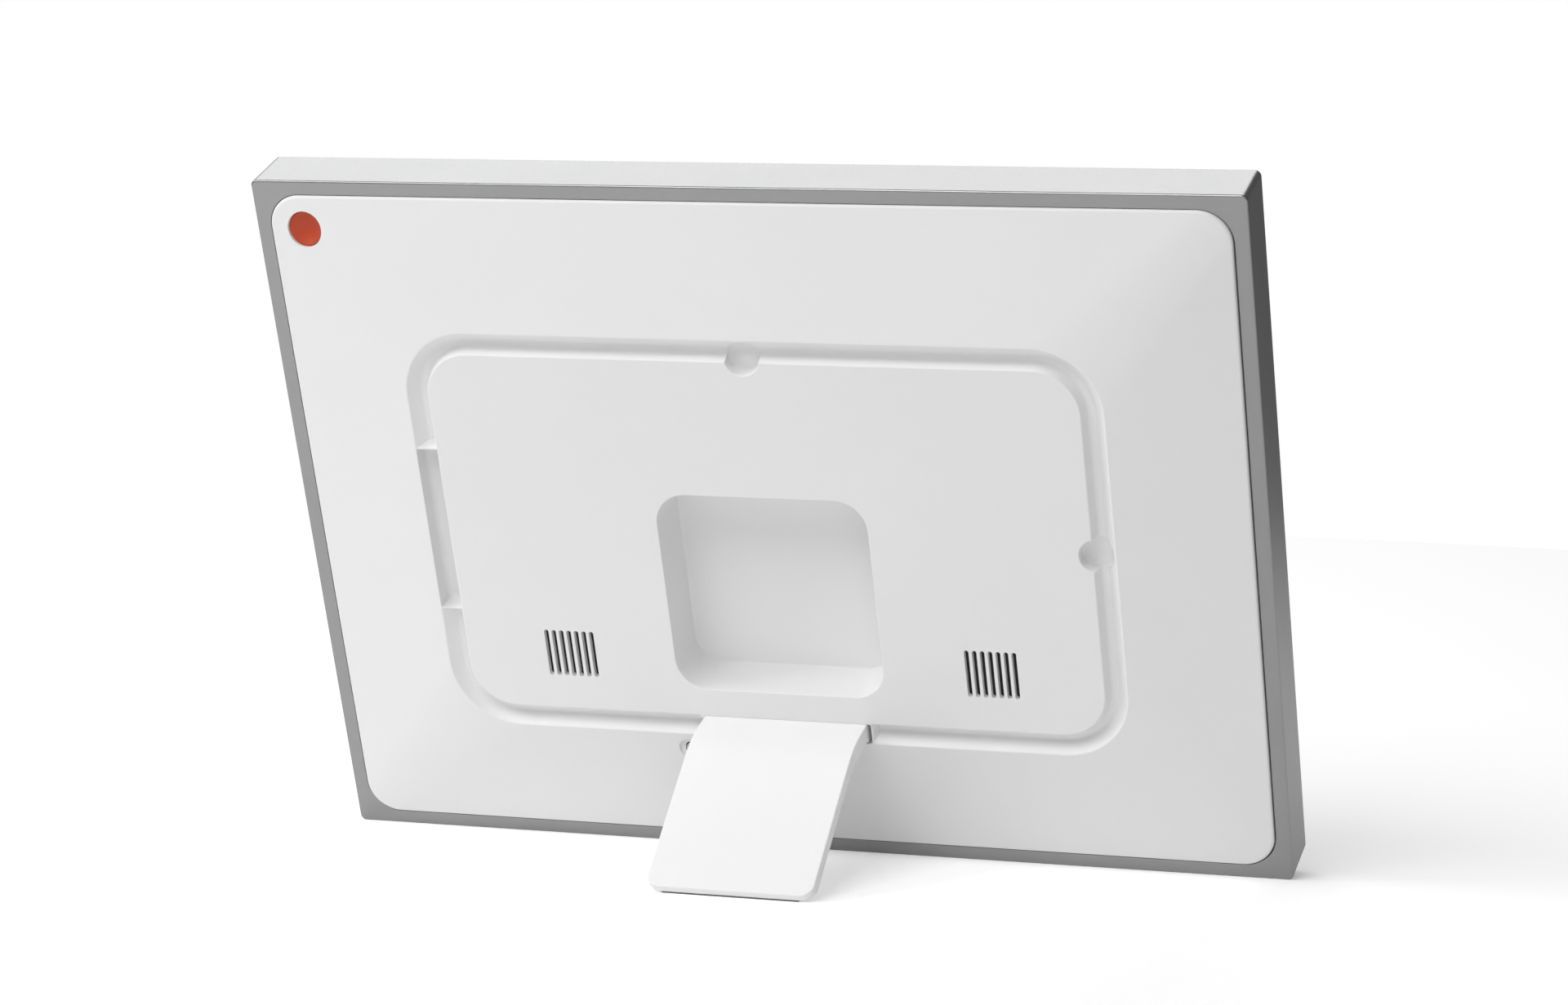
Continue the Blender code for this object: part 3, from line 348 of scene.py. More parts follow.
def settle(obj, tools=(), sharp=35):
    """Apply an object's modifiers and its placement, remove its tools and shade it."""
    bpy.context.view_layer.update()
    done = obj.evaluated_get(bpy.context.evaluated_depsgraph_get())
    mesh = bpy.data.meshes.new_from_object(done)
    mesh.transform(obj.matrix_world)
    obj.modifiers.clear()
    obj.data = mesh
    obj.matrix_world = Matrix.Identity(4)
    for tool in tools:
        bpy.data.objects.remove(tool, do_unlink=True)
    bm = bmesh.new()
    bm.from_mesh(mesh)
    bmesh.ops.remove_doubles(bm, verts=bm.verts, dist=WELD)
    bmesh.ops.dissolve_degenerate(bm, edges=bm.edges, dist=WELD)
    bm.to_mesh(mesh)
    bm.free()
    mesh.shade_smooth()
    mesh.set_sharp_from_angle(angle=radians(sharp))
    weighted = obj.modifiers.new("even_shading", "WEIGHTED_NORMAL")
    weighted.mode = "FACE_AREA"
    weighted.weight = 90
    weighted.keep_sharp = True
    return obj


def wear(obj, material, body, slot, *nodes):
    """Give a finished piece its material and its body, and hide the CAD nodes it stands for. The
    slot is not used.
    """
    obj.data.materials.clear()
    obj.data.materials.append(material)
    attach(obj, body)
    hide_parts(*nodes)
    return obj


# ------------------------------------------------------------------ materials
class Finish:
    """A node material round one Principled shader, with patterns in object space."""

    def __init__(self, name, colour, roughness, metallic=0.0):
        self.material = bpy.data.materials.new(name)
        self.material.use_nodes = True
        self.tree = self.material.node_tree
        self.shader = self.tree.nodes["Principled BSDF"]
        self.colour = colour
        self.set("Base Color", (*colour, 1.0))
        self.set("Roughness", roughness)
        self.set("Metallic", metallic)
        self.space = self.tree.nodes.new("ShaderNodeTexCoord").outputs["Object"]

    def set(self, socket, value):
        self.shader.inputs[socket].default_value = value

    def stretched(self, scale):
        """Object space, scaled differently along each axis."""
        mapping = self.tree.nodes.new("ShaderNodeMapping")
        mapping.inputs["Scale"].default_value = scale
        self.tree.links.new(self.space, mapping.inputs["Vector"])
        return mapping.outputs["Vector"]

    def noise(self, size, detail=2.0, vector=None):
        """Noise whose features are about one size, in metres."""
        node = self.tree.nodes.new("ShaderNodeTexNoise")
        node.inputs["Scale"].default_value = 1 / size
        node.inputs["Detail"].default_value = detail
        self.tree.links.new(vector or self.space, node.inputs["Vector"])
        return node.outputs["Fac"]

    def bands(self, pitch, direction):
        """Smooth bands across one axis, a pitch apart in metres."""
        node = self.tree.nodes.new("ShaderNodeTexWave")
        node.bands_direction = direction
        node.inputs["Scale"].default_value = 0.314 / pitch
        self.tree.links.new(self.space, node.inputs["Vector"])
        return node.outputs["Fac"]

    def cells(self, size, randomness=1.0):
        """The distance to the nearest of scattered points, a size apart."""
        node = self.tree.nodes.new("ShaderNodeTexVoronoi")
        node.inputs["Scale"].default_value = 1 / size
        node.inputs["Randomness"].default_value = randomness
        self.tree.links.new(self.space, node.inputs["Vector"])
        return node.outputs["Distance"]

    def product(self, first, second):
        node = self.tree.nodes.new("ShaderNodeMath")
        node.operation = "MULTIPLY"
        self.tree.links.new(first, node.inputs[0])
        self.tree.links.new(second, node.inputs[1])
        return node.outputs[0]

    def spread(self, value, low, high, from_low=0.3, from_high=0.7):
        """A pattern's value, brought from its usual range to another."""
        node = self.tree.nodes.new("ShaderNodeMapRange")
        node.inputs["From Min"].default_value = from_low
        node.inputs["From Max"].default_value = from_high
        node.inputs["To Min"].default_value = low
        node.inputs["To Max"].default_value = high
        self.tree.links.new(value, node.inputs["Value"])
        return node.outputs["Result"]

    def colours(self, value, other, from_low=0.3, from_high=0.7):
        """Blend the base colour with another one by a pattern."""
        node = self.tree.nodes.new("ShaderNodeMix")
        node.data_type = "RGBA"
        node.inputs["A"].default_value = (*self.colour, 1.0)
        node.inputs["B"].default_value = (*other, 1.0)
        share = self.spread(value, 0.0, 1.0, from_low, from_high)
        self.tree.links.new(share, node.inputs["Factor"])
        self.tree.links.new(node.outputs["Result"], self.shader.inputs["Base Color"])

    def roughness(self, value, low, high):
        self.tree.links.new(self.spread(value, low, high), self.shader.inputs["Roughness"])

    def bump(self, value, depth, strength=1.0):
        """Relief of a depth in metres."""
        node = self.tree.nodes.new("ShaderNodeBump")
        node.inputs["Strength"].default_value = strength
        node.inputs["Distance"].default_value = depth
        self.tree.links.new(value, node.inputs["Height"])
        self.tree.links.new(node.outputs["Normal"], self.shader.inputs["Normal"])


def satin_silver():
    """Fine blasted aluminium under a clear satin coat."""
    finish = Finish("satin_silver_finish", (0.335, 0.335, 0.338), 0.36, metallic=1.0)
    grain = finish.noise(0.00035, 3.0)
    finish.colours(finish.noise(0.030, 3.0), (0.320, 0.321, 0.325))
    finish.roughness(grain, 0.33, 0.41)
    finish.bump(grain, 0.000006, 0.5)
    return finish.material


def white_plastic():
    """Matt moulded plastic with a fine eroded grain."""
    finish = Finish("white_plastic_finish", (0.790, 0.790, 0.790), 0.55)
    grain = finish.noise(0.00028, 3.0)
    finish.colours(finish.noise(0.045, 2.0), (0.780, 0.780, 0.782))
    finish.roughness(grain, 0.50, 0.62)
    finish.bump(grain, 0.000010, 0.5)
    return finish.material


def stand_plastic():
    """The cover's white plastic, lighter and a little smoother. The extra lightness is painted
    light on the stand's upward-facing face.
    """
    finish = Finish("stand_plastic_finish", (0.860, 0.860, 0.860), 0.50)
    grain = finish.noise(0.00024, 3.0)
    finish.colours(finish.noise(0.030, 2.0), (0.850, 0.850, 0.852))
    finish.roughness(grain, 0.44, 0.56)
    finish.bump(grain, 0.000008, 0.5)
    return finish.material


def button_orange():
    """Matt orange plastic, with little gloss so that the dish keeps its colour."""
    finish = Finish("button_orange_finish", (0.50, 0.064, 0.024), 0.42)
    grain = finish.noise(0.00022, 3.0)
    finish.colours(finish.noise(0.004, 2.0), (0.46, 0.056, 0.021))
    finish.set("Specular IOR Level", 0.3)
    finish.roughness(grain, 0.42, 0.54)
    finish.bump(grain, 0.000008, 0.6)
    return finish.material


def clear_glass():
    finish = Finish("clear_glass_finish", (0.97, 0.985, 0.98), 0.02)
    finish.set("Transmission Weight", 1.0)
    finish.set("IOR", 1.5)
    finish.roughness(finish.noise(0.020, 4.0), 0.012, 0.035)
    return finish.material


def mat_card():
    """Pressed card with short fibres."""
    finish = Finish("mat_card_finish", (0.80, 0.79, 0.755), 0.90)
    fibres = finish.noise(0.0009, 5.0, finish.stretched((1.0, 1.0, 2.4)))
    finish.colours(fibres, (0.75, 0.738, 0.70))
    finish.roughness(fibres, 0.82, 0.96)
    finish.bump(fibres, 0.00005, 0.5)
    return finish.material


def screen_black():
    """A dark screen: a faint grid of picture elements under a smooth face."""
    finish = Finish("screen_black_finish", (0.010, 0.011, 0.013), 0.16)
    grid = finish.product(finish.bands(0.00017, "X"), finish.bands(0.00017, "Z"))
    finish.colours(grid, (0.018, 0.019, 0.023), 0.2, 0.8)
    finish.roughness(finish.noise(0.012, 3.0), 0.12, 0.20)
    return finish.material


def tinned_steel():
    finish = Finish("tinned_steel_finish", (0.56, 0.565, 0.57), 0.34, metallic=1.0)
    rolled = finish.noise(0.0006, 4.0, finish.stretched((0.08, 1.0, 1.0)))
    finish.colours(finish.noise(0.012, 4.0), (0.50, 0.50, 0.49))
    finish.roughness(rolled, 0.26, 0.44)
    finish.bump(rolled, 0.000008, 0.5)
    return finish.material


def circuit_green():
    """Solder mask over copper: traces show as lighter lanes."""
    finish = Finish("circuit_green_finish", (0.020, 0.13, 0.060), 0.38)
    lanes = finish.product(finish.bands(0.0011, "X"), finish.noise(0.004, 1.0))
    finish.colours(lanes, (0.045, 0.23, 0.10), 0.28, 0.40)
    finish.roughness(finish.noise(0.002), 0.30, 0.46)
    finish.bump(lanes, 0.00003, 0.6)
    return finish.material


def black_plastic():
    finish = Finish("black_plastic_finish", (0.022, 0.022, 0.024), 0.50)
    grain = finish.noise(0.0003, 3.0)
    finish.colours(finish.noise(0.003), (0.034, 0.034, 0.036))
    finish.roughness(grain, 0.42, 0.60)
    finish.bump(grain, 0.00001, 0.6)
    return finish.material


def vent_cloth():
    """Acoustic cloth: two sets of threads."""
    finish = Finish("vent_cloth_finish", (0.016, 0.016, 0.018), 0.92)
    weave = finish.product(finish.bands(0.00032, "X"), finish.bands(0.00032, "Z"))
    finish.colours(weave, (0.060, 0.060, 0.064), 0.1, 0.8)
    finish.bump(weave, 0.00006, 0.8)
    return finish.material


def grey_rubber():
    finish = Finish("grey_rubber_finish", (0.13, 0.13, 0.14), 0.80)
    grain = finish.cells(0.0006)
    finish.colours(finish.noise(0.004), (0.16, 0.16, 0.17))
    finish.roughness(grain, 0.72, 0.90)
    finish.bump(grain, 0.00003, 0.6)
    return finish.material


def lead_sheath():
    finish = Finish("lead_sheath_finish", (0.075, 0.075, 0.082), 0.55)
    finish.colours(finish.noise(0.003), (0.105, 0.105, 0.112))
    finish.roughness(finish.noise(0.0008), 0.46, 0.64)
    return finish.material


def ribbon_film():
    """Polyimide film over side by side conductors."""
    finish = Finish("ribbon_film_finish", (0.52, 0.31, 0.085), 0.34)
    lanes = finish.bands(0.0010, "X")
    finish.colours(lanes, (0.36, 0.19, 0.055), 0.35, 0.65)
    finish.roughness(finish.noise(0.003), 0.26, 0.42)
    finish.bump(lanes, 0.00003, 0.5)
    return finish.material


def speaker_paper():
    finish = Finish("speaker_paper_finish", (0.055, 0.055, 0.055), 0.86)
    pulp = finish.noise(0.0006, 5.0)
    finish.colours(pulp, (0.085, 0.083, 0.080))
    finish.bump(pulp, 0.00004, 0.6)
    return finish.material


def light_guide():
    finish = Finish("light_guide_finish", (0.76, 0.78, 0.80), 0.28)
    dots = finish.cells(0.0012, 0.1)
    finish.colours(dots, (0.86, 0.87, 0.88), 0.2, 0.6)
    finish.roughness(finish.noise(0.010), 0.22, 0.34)
    return finish.material


MATERIALS = {
    make.__name__: make()
    for make in (
        satin_silver, white_plastic, button_orange, clear_glass, mat_card, screen_black,
        tinned_steel, circuit_green, black_plastic, vent_cloth, grey_rubber, lead_sheath,
        ribbon_film, speaker_paper, light_guide,
    )
}
# A lighter copy of the white plastic: painted light on the stand's upward-facing face.
STAND_WHITE_PAINTED_LIGHTER = stand_plastic()


def finish_cad_nodes():
    """Give every CAD node the procedural material of its slot. The glass casts no shadow, so that
    the mat and the screen behind it are lit."""
    for node in frame["nodes"].values():
        for holder in node.material_slots:
            holder.material = MATERIALS[holder.material.name.split(".")[0]]
    frame["nodes"]["front_glass"].visible_shadow = False


# ------------------------------------------------------------------ outer frame
FRAME_RECT = (-FRAME_HALF_X, FRAME_HALF_X, 0.0, FRAME_H, FRAME_CORNER_R)
SEAT_R = COVER_R + COVER_GAP
WINDOW_R = 0.0008
POST_HALF = 0.0045
POST_INNER = 0.0026
POST_OUTER = 0.0035
POST_INSET = 0.0092
POST_RISE = 0.070
POST_R = 0.0003
PILOT_R = 0.00135
PILOT_DEPTH = 0.0062
CHASSIS_Y = -0.0085


def frame_rect(across):
    """The frame's outline at a distance in from its outside: three concentric sets of corners."""
    flat = inset(FRAME_RECT, across)[:4]
    if across <= FRAME_EDGE_R:
        return *flat, FRAME_CORNER_R - across
    if across < (WALL_W + LIP_W) / 2:
        return *flat, SEAT_R + RIM_W - across
    return *flat, WINDOW_R + LIP_W - across


def build_outer_frame():
    """One section carried round the frame, with six posts for the chassis plate's screws."""
    # Corners of the section: distance in from the outside, y, and radius.
    section = rounded((
        (0, FRONT_Y, FRAME_EDGE_R),
        (0, 0, FRAME_EDGE_R),
        (RIM_W, 0, 0.00025),
        (RIM_W, -RIM_DEPTH, 0.0002),
        (WALL_W, -RIM_DEPTH, 0.0001),
        (WALL_W, FRONT_Y + LIP_T, 0.0002),
        (LIP_W, FRONT_Y + LIP_T, 0.0001),
        (LIP_W, FRONT_Y, 0.0004),
    ), closed=True)
    rows = [outline(frame_rect(across), y) for across, y in section]
    body = lofted("silver_frame", rows, ring=True)
    side_x = FRAME_HALF_X - POST_INSET
    low_y = FRONT_Y + LIP_T - 0.0005
    high_y = CHASSIS_Y - 0.0004  # just under the chassis plate
    posts = []
    pilots = []
    spots = [(sign * side_x, MID_Z + rise) for sign in (1, -1) for rise in (-POST_RISE, POST_RISE)]
    spots += [(0.0, POST_INSET), (0.0, FRAME_H - POST_INSET)]
    for number, (x, z) in enumerate(spots, 1):
        if x:
            ends = sorted((abs(x) - POST_INNER, abs(x) + POST_OUTER))
            low_x, high_x = ends if x > 0 else (-ends[1], -ends[0])
            rect = (low_x, high_x, z - POST_HALF, z + POST_HALF, POST_R)
        else:
            away = 1 if z > MID_Z else -1
            low_z, high_z = sorted((z - away * POST_INNER, z + away * POST_OUTER))
            rect = (-POST_HALF, POST_HALF, low_z, high_z, POST_R)
        posts.append(slab(f"post_{number}", rect, low_y, high_y, 2))
        pilots.append(rod(f"post_pilot_{number}", PILOT_R, x, z, CHASSIS_Y - PILOT_DEPTH,
                          CHASSIS_Y + 0.003))
    combine(body, "UNION", posts)
    combine(body, "DIFFERENCE", pilots)
    settle(body, posts + pilots)
    wear(body, MATERIALS["satin_silver"], "frame", "satin_silver", "outer_frame")


# ------------------------------------------------------------------ rear cover
COVER_HALF_X = FRAME_HALF_X - RIM_W - COVER_GAP
COVER_LOW_Z = RIM_W + COVER_GAP
COVER_RECT = (-COVER_HALF_X, COVER_HALF_X, COVER_LOW_Z, FRAME_H - RIM_W - COVER_TOP_GAP, COVER_R)
GROOVE_RECT = (-GROOVE_HALF_X, GROOVE_HALF_X, GROOVE_LOW_Z, GROOVE_HIGH_Z, GROOVE_R)
FLANK = COVER_HALF_X - GROOVE_HALF_X
RISE = PLATEAU_Y - COVER_EDGE_Y
PLATEAU_HALF_X = GROOVE_HALF_X - GROOVE_W
PLATEAU_HIGH_Z = GROOVE_HIGH_Z - GROOVE_W
BACKING_Y = PLATEAU_Y - 0.0010
BACKING_HIGH_Y = GROOVE_FLOOR_Y - 0.0004


def cover_rect(across):
    """The cover's outline at a distance in from its edge: up the flank, then round the groove."""
    if across < FLANK:
        return between(COVER_RECT, GROOVE_RECT, across / FLANK)
    return inset(GROOVE_RECT, across - FLANK)


def flank_y(across):
    """The flank's height at a distance in from the cover's edge."""
    return COVER_EDGE_Y + RISE * across / FLANK


def cover_shell():
    """The cover's skin before its holes. The rows run outwards on the underside and back in on
    the outside."""
    in_wall = FLANK + GROOVE_W + SOCKET_BITE + COVER_T + SOCKET_CLEAR
    under = [
        (in_wall, PLATEAU_Y - COVER_T),
        (in_wall, GROOVE_FLOOR_Y - COVER_T),
        (FLANK - COVER_T, GROOVE_FLOOR_Y - COVER_T),
        (FLANK - COVER_T, flank_y(FLANK - COVER_T) - COVER_T),
        (COVER_WALL, flank_y(COVER_WALL) - COVER_T),
        (COVER_WALL, COVER_FOOT_Y),
    ]
    # Corners of the outside: distance in from the cover's edge, y, and radius.
    outside = rounded((
        (0, COVER_FOOT_Y, 0),
        (0, COVER_EDGE_Y, EDGE_ROLL),
        (FLANK, PLATEAU_Y, 0.0006),
        (FLANK + GROOVE_OUTER_SLOPE, GROOVE_FLOOR_Y, 0.0012),
        (FLANK + GROOVE_W - GROOVE_INNER_SLOPE, GROOVE_FLOOR_Y, 0.0009),
        (FLANK + GROOVE_W, PLATEAU_Y, 0.0005),
        (in_wall, PLATEAU_Y, 0),
    ), steps=6)
    rows = [outline(cover_rect(across), y) for across, y in [*under, *outside]]
    return lofted("back_cover", rows)


def slot_rects():
    """The stand's two slots, low and side, as rectangles on the plateau's border."""
    low = (-SLOT_HALF_L, LOW_SLOT_END, GROOVE_LOW_Z, NECK_TOP + 0.5 * APART, SLOT_R)
    side = (PLATEAU_HALF_X, GROOVE_HALF_X, MID_Z - SLOT_HALF_L, MID_Z + SLOT_HALF_L, SLOT_R)
    return low, side


# The middles (x, z) of the nail sockets, and of the two screw bosses under the port's board.
SOCKETS = (
    (0.0, PLATEAU_HIGH_Z - SOCKET_BITE + SOCKET_R),
    (-PLATEAU_HALF_X + SOCKET_BITE - SOCKET_R, MID_Z),
)
BOSSES = tuple((PORT_X + side * BOSS_REACH, PORT_Z - BOSS_DROP) for side in (-1, 1))

# The cover's snap tabs: their size, how far in they stand, and their places along its sides.
TAB_T = 0.0014
TAB_HALF = 0.0050
TAB_INSET = 0.0017
TAB_LOW_Y = -0.0052
TAB_HIGH_Y = -0.0006
TAB_X = 0.075
TAB_RISE = 0.045
TAB_R = 0.0003


def cover_tabs():
    """Snap tabs round the cover's edge, pointing into the frame."""
    out_x = COVER_HALF_X - TAB_INSET
    out_z = MID_Z - COVER_LOW_Z - TAB_INSET
    rects = []
    for sign in (-1, 1):
        ends_x = sorted((sign * out_x, sign * (out_x - TAB_T)))
        ends_z = sorted((MID_Z + sign * out_z, MID_Z + sign * (out_z - TAB_T)))
        for along in (-1, 1):
            z = MID_Z + along * TAB_RISE
            x = along * TAB_X
            rects.append((*ends_x, z - TAB_HALF, z + TAB_HALF, TAB_R))
            rects.append((x - TAB_HALF, x + TAB_HALF, *ends_z, TAB_R))
    bm = bmesh.new()
    for rect in rects:
        add_loft(bm, [outline(rect, TAB_LOW_Y, 3), outline(rect, TAB_HIGH_Y, 3)])
    return place("cover_tabs", mesh_from(bm, "cover_tabs"))


def cover_backings():
    """Material behind the cover's hollows, so that each one keeps a floor and walls."""
    t = 0.9 * COVER_T
    half = RECESS_HALF + t
    recess = (-half, half, RECESS_Z - half, RECESS_Z + half, RECESS_R + t)
    backings = [slab("recess_backing", recess, RECESS_FLOOR_Y - 0.0014, BACKING_Y, 10)]
    for number, rect in enumerate(slot_rects()):
        backings.append(slab(f"slot_backing_{number}", inset(rect, -t), SLOT_FLOOR_Y - t,
                             BACKING_HIGH_Y))
    for number, (x, z) in enumerate(SOCKETS):
        backings.append(rod(f"socket_backing_{number}", SOCKET_R + t, x, z, SOCKET_FLOOR_Y - t,
                            BACKING_HIGH_Y))
    for number, (x, z) in enumerate(BOSSES):
        backings.append(rod(f"port_boss_{number}", BOSS_R, x, z, BOSS_LOW_Y, BOSS_HIGH_Y))
    return [*backings, cover_tabs()]


def vent_cutters():
    """Two rows of upright slots with round ends and a fine flare, as one cutter."""
    bm = bmesh.new()
    for side in (-1, 1):
        for number in range(VENT_COUNT):
            x = side * VENT_X + (number - (VENT_COUNT - 1) / 2) * VENT_PITCH
            rect = (x - VENT_W / 2, x + VENT_W / 2, VENT_Z - VENT_L / 2, VENT_Z + VENT_L / 2,
                    0.499 * VENT_W)
            path = rounded((
                (0, PLATEAU_Y - VENT_DEPTH, 0),
                (0, PLATEAU_Y, VENT_EDGE_R),
                (-VENT_FLARE, PLATEAU_Y + VENT_EDGE_R / 2, 0),
            ), steps=3)
            rows = [outline(inset(rect, across), y, 8) for across, y in path]
            add_loft(bm, [*rows, outline(inset(rect, -VENT_FLARE), ABOVE, 8)])
    return place("vent_cutters", mesh_from(bm, "vent_cutters"))


def socket_cutter(name, x, z):
    """A round well with a rounded foot, whose mouth flares into the plateau."""
    flared = SOCKET_R + SOCKET_FLARE
    path = rounded((
        (0, SOCKET_FLOOR_Y, 0),
        (SOCKET_R, SOCKET_FLOOR_Y, SOCKET_FOOT_R),
        (SOCKET_R, PLATEAU_Y, SOCKET_EDGE_R),
        (flared, PLATEAU_Y + APART, 0),
    ))
    profile = [*path, (flared, ABOVE), (0, ABOVE)]
    return place(name, turned_mesh(name, profile, 56), aimed((x, 0, z)))


def button_cutter():
    """The button's well. Heights are along the button's axis, from BUTTON_AT."""
    mouth = BUTTON_HOLE_R + 2 * BUTTON_MOUTH_R
    lift = 0.3 * BUTTON_MOUTH_R
    top = 0.006
    path = rounded((
        (BUTTON_HOLE_R, BUTTON_HOLE_LOW, 0),
        (BUTTON_HOLE_R, BUTTON_SURFACE, BUTTON_MOUTH_R),
        (mouth, BUTTON_SURFACE + lift, 0),
    ), steps=8)
    profile = [(0, BUTTON_HOLE_LOW), *path, (mouth, top), (0, top)]
    return place("button_cutter", turned_mesh("button_cutter", profile, 72),
                 aimed(BUTTON_AT, BUTTON_AXIS))


def port_cutters():
    """The port's flat seat in the flank, its opening, and the screw pilots in its bosses."""
    seat = (PORT_X - PORT_SEAT_HALF_X, PORT_X + PORT_SEAT_HALF_X,
            PORT_Z - PORT_SEAT_HALF_Z, PORT_Z + PORT_SEAT_HALF_Z, PORT_SEAT_R)
    hole = (PORT_X - PORT_W / 2 - GAP, PORT_X + PORT_W / 2 + GAP,
            PORT_Z - PORT_H / 2 - GAP, PORT_Z + PORT_H / 2 + GAP, PORT_H / 2)
    surface = flank_y((PORT_Z - COVER_LOW_Z) * FLANK / (GROOVE_LOW_Z - COVER_LOW_Z))
    slope = RISE / (GROOVE_LOW_Z - COVER_LOW_Z)
    return [
        sunk("port_seat", seat, PORT_SEAT_Y, surface, floor_r=0.0004, mouth_r=0.0005, slope=slope),
        sunk("port_hole", hole, -0.001, PORT_SEAT_Y, floor_r=0.0001, mouth_r=0.0002),
        *(rod(f"boss_pilot_{n}", PILOT_R, x, z, low_y=-0.004, high_y=0.0028)
          for n, (x, z) in enumerate(BOSSES)),
    ]


def cover_cutters():
    """Everything that is cut out of the cover."""
    recess = (-RECESS_HALF, RECESS_HALF, RECESS_Z - RECESS_HALF, RECESS_Z + RECESS_HALF, RECESS_R)
    cutters = [sunk("recess_cutter", recess, RECESS_FLOOR_Y, PLATEAU_Y, RECESS_FOOT_R,
                    RECESS_EDGE_R, RECESS_DRAFT)]
    for number, (rect, foot_r, draft) in enumerate(zip(slot_rects(), SLOT_FOOT, SLOT_DRAFT)):
        cutters.append(sunk(f"slot_cutter_{number}", rect, SLOT_FLOOR_Y, PLATEAU_Y, foot_r,
                            SLOT_EDGE_R, draft, steps=6))
    cutters += [socket_cutter(f"socket_cutter_{n}", x, z) for n, (x, z) in enumerate(SOCKETS)]
    return [*cutters, vent_cutters(), button_cutter(), *port_cutters()]


def slot_ribs():
    """Thin walls across the groove at both ends of each slot, and a flat edge over the stand."""
    crest = PLATEAU_Y - RIB_DROP
    foot = GROOVE_FLOOR_Y - 0.0005
    collar_foot = GROOVE_FLOOR_Y - 0.0007
    overlap = 0.0004  # how far a rib reaches into the cover
    # Corners of a rib's section: distance from the slot's end, y, and radius.
    section = rounded((
        (-overlap, foot, 0),
        (-overlap, crest, 0),
        (RIB_T, crest, 0.0003),
        (RIB_T + RIB_RAMP, GROOVE_FLOOR_Y, 0.0008),
        (RIB_T + 2 * RIB_RAMP, GROOVE_FLOOR_Y - 0.0003, 0),
        (RIB_T + 2 * RIB_RAMP, foot, 0),
    ))
    collar_half = SLOT_HALF_L + 0.0003
    collar = (-collar_half, collar_half, NECK_TOP - COLLAR_BELOW, NECK_TOP + COLLAR_ABOVE, 0.0002)
    ribs = [slab("low_collar", collar, collar_foot, PLATEAU_Y - 0.1 * APART, 3)]
    for away in (-1, 1):
        start = LOW_SLOT_END if away > 0 else -SLOT_HALF_L
        rows = [[(start + away * u, v, z) for u, v in section]
                for z in (GROOVE_LOW_Z + APART, GROOVE_LOW_Z + GROOVE_W + overlap)]
        ribs.append(lofted(f"low_rib_{away}", rows))
        rows = [[(x, v, MID_Z + away * (SLOT_HALF_L + u)) for u, v in section]
                for x in (PLATEAU_HALF_X - overlap, GROOVE_HALF_X - APART)]
        ribs.append(lofted(f"side_rib_{away}", rows))
    return ribs


def build_rear_cover():
    cover = cover_shell()
    backings = cover_backings()
    cutters = cover_cutters()
    ribs = slot_ribs()
    combine(cover, "UNION", backings + ribs)
    combine(cover, "DIFFERENCE", cutters)
    settle(cover, backings + cutters + ribs, 32)
    wear(cover, MATERIALS["white_plastic"], "frame", "white_plastic", "rear_cover")


# ------------------------------------------------------------------ power button
def build_button():
    """A dished cap with a flat rim, over a flange that holds it in its well."""
    rim_y = BUTTON_DISH_LOW + BUTTON_DISH
    profile = [(0, BUTTON_DISH_LOW)]
    for step in range(1, 11):
        share = step / 10
        profile.append((BUTTON_RIM_R * share, BUTTON_DISH_LOW + BUTTON_DISH * share ** 2))
    profile += rounded((
        (BUTTON_RIM_R, rim_y, 0),
        (BUTTON_R, rim_y, 0.0002),
        (BUTTON_R, BUTTON_DISH_LOW, 0.0001),
        (BUTTON_FLANGE_R, BUTTON_DISH_LOW, 0.0001),
        (BUTTON_FLANGE_R, BUTTON_FLANGE_LOW, 0.0002),
        (0.0002, BUTTON_FLANGE_LOW, 0),
    ))[1:]
    profile.append((0, BUTTON_FLANGE_LOW))
    mesh = turned_mesh("orange_button", profile, 72)
    button = place("orange_button", mesh, aimed(BUTTON_AT, BUTTON_AXIS))
    settle(button)
    wear(button, MATERIALS["button_orange"], "button", "button_orange", "power_button")


# ------------------------------------------------------------------ mat board
def build_mat():
    """Card with a window cut on the slant, which leaves a bevel round the picture."""
    low, high = panel_box("mat_board")
    screen_low, screen_high = panel_box("lcd_panel")
    side = 0.0060  # how far the card covers the screen at its sides
    top = side + 0.0005  # and at its top and bottom
    edge = 0.0002  # the size of the card's broken edges
    bevel = high.y - low.y
    board = (low.x, high.x, low.z, high.z, 0.0015)
    window = (screen_low.x + side, screen_high.x - side, screen_low.z + top, screen_high.z - top,
              0.0006)
    rows = [
        outline(inset(board, edge), low.y),
        outline(board, low.y + edge),
        outline(board, high.y - edge),
        outline(inset(board, edge), high.y),
        outline(window, high.y),
        outline(window, high.y - APART),
        outline(inset(window, -bevel), low.y),
    ]
    mat = lofted("mat_with_bevel", rows, ring=True)
    settle(mat)
    wear(mat, MATERIALS["mat_card"], "frame", "mat_card", "mat_board")


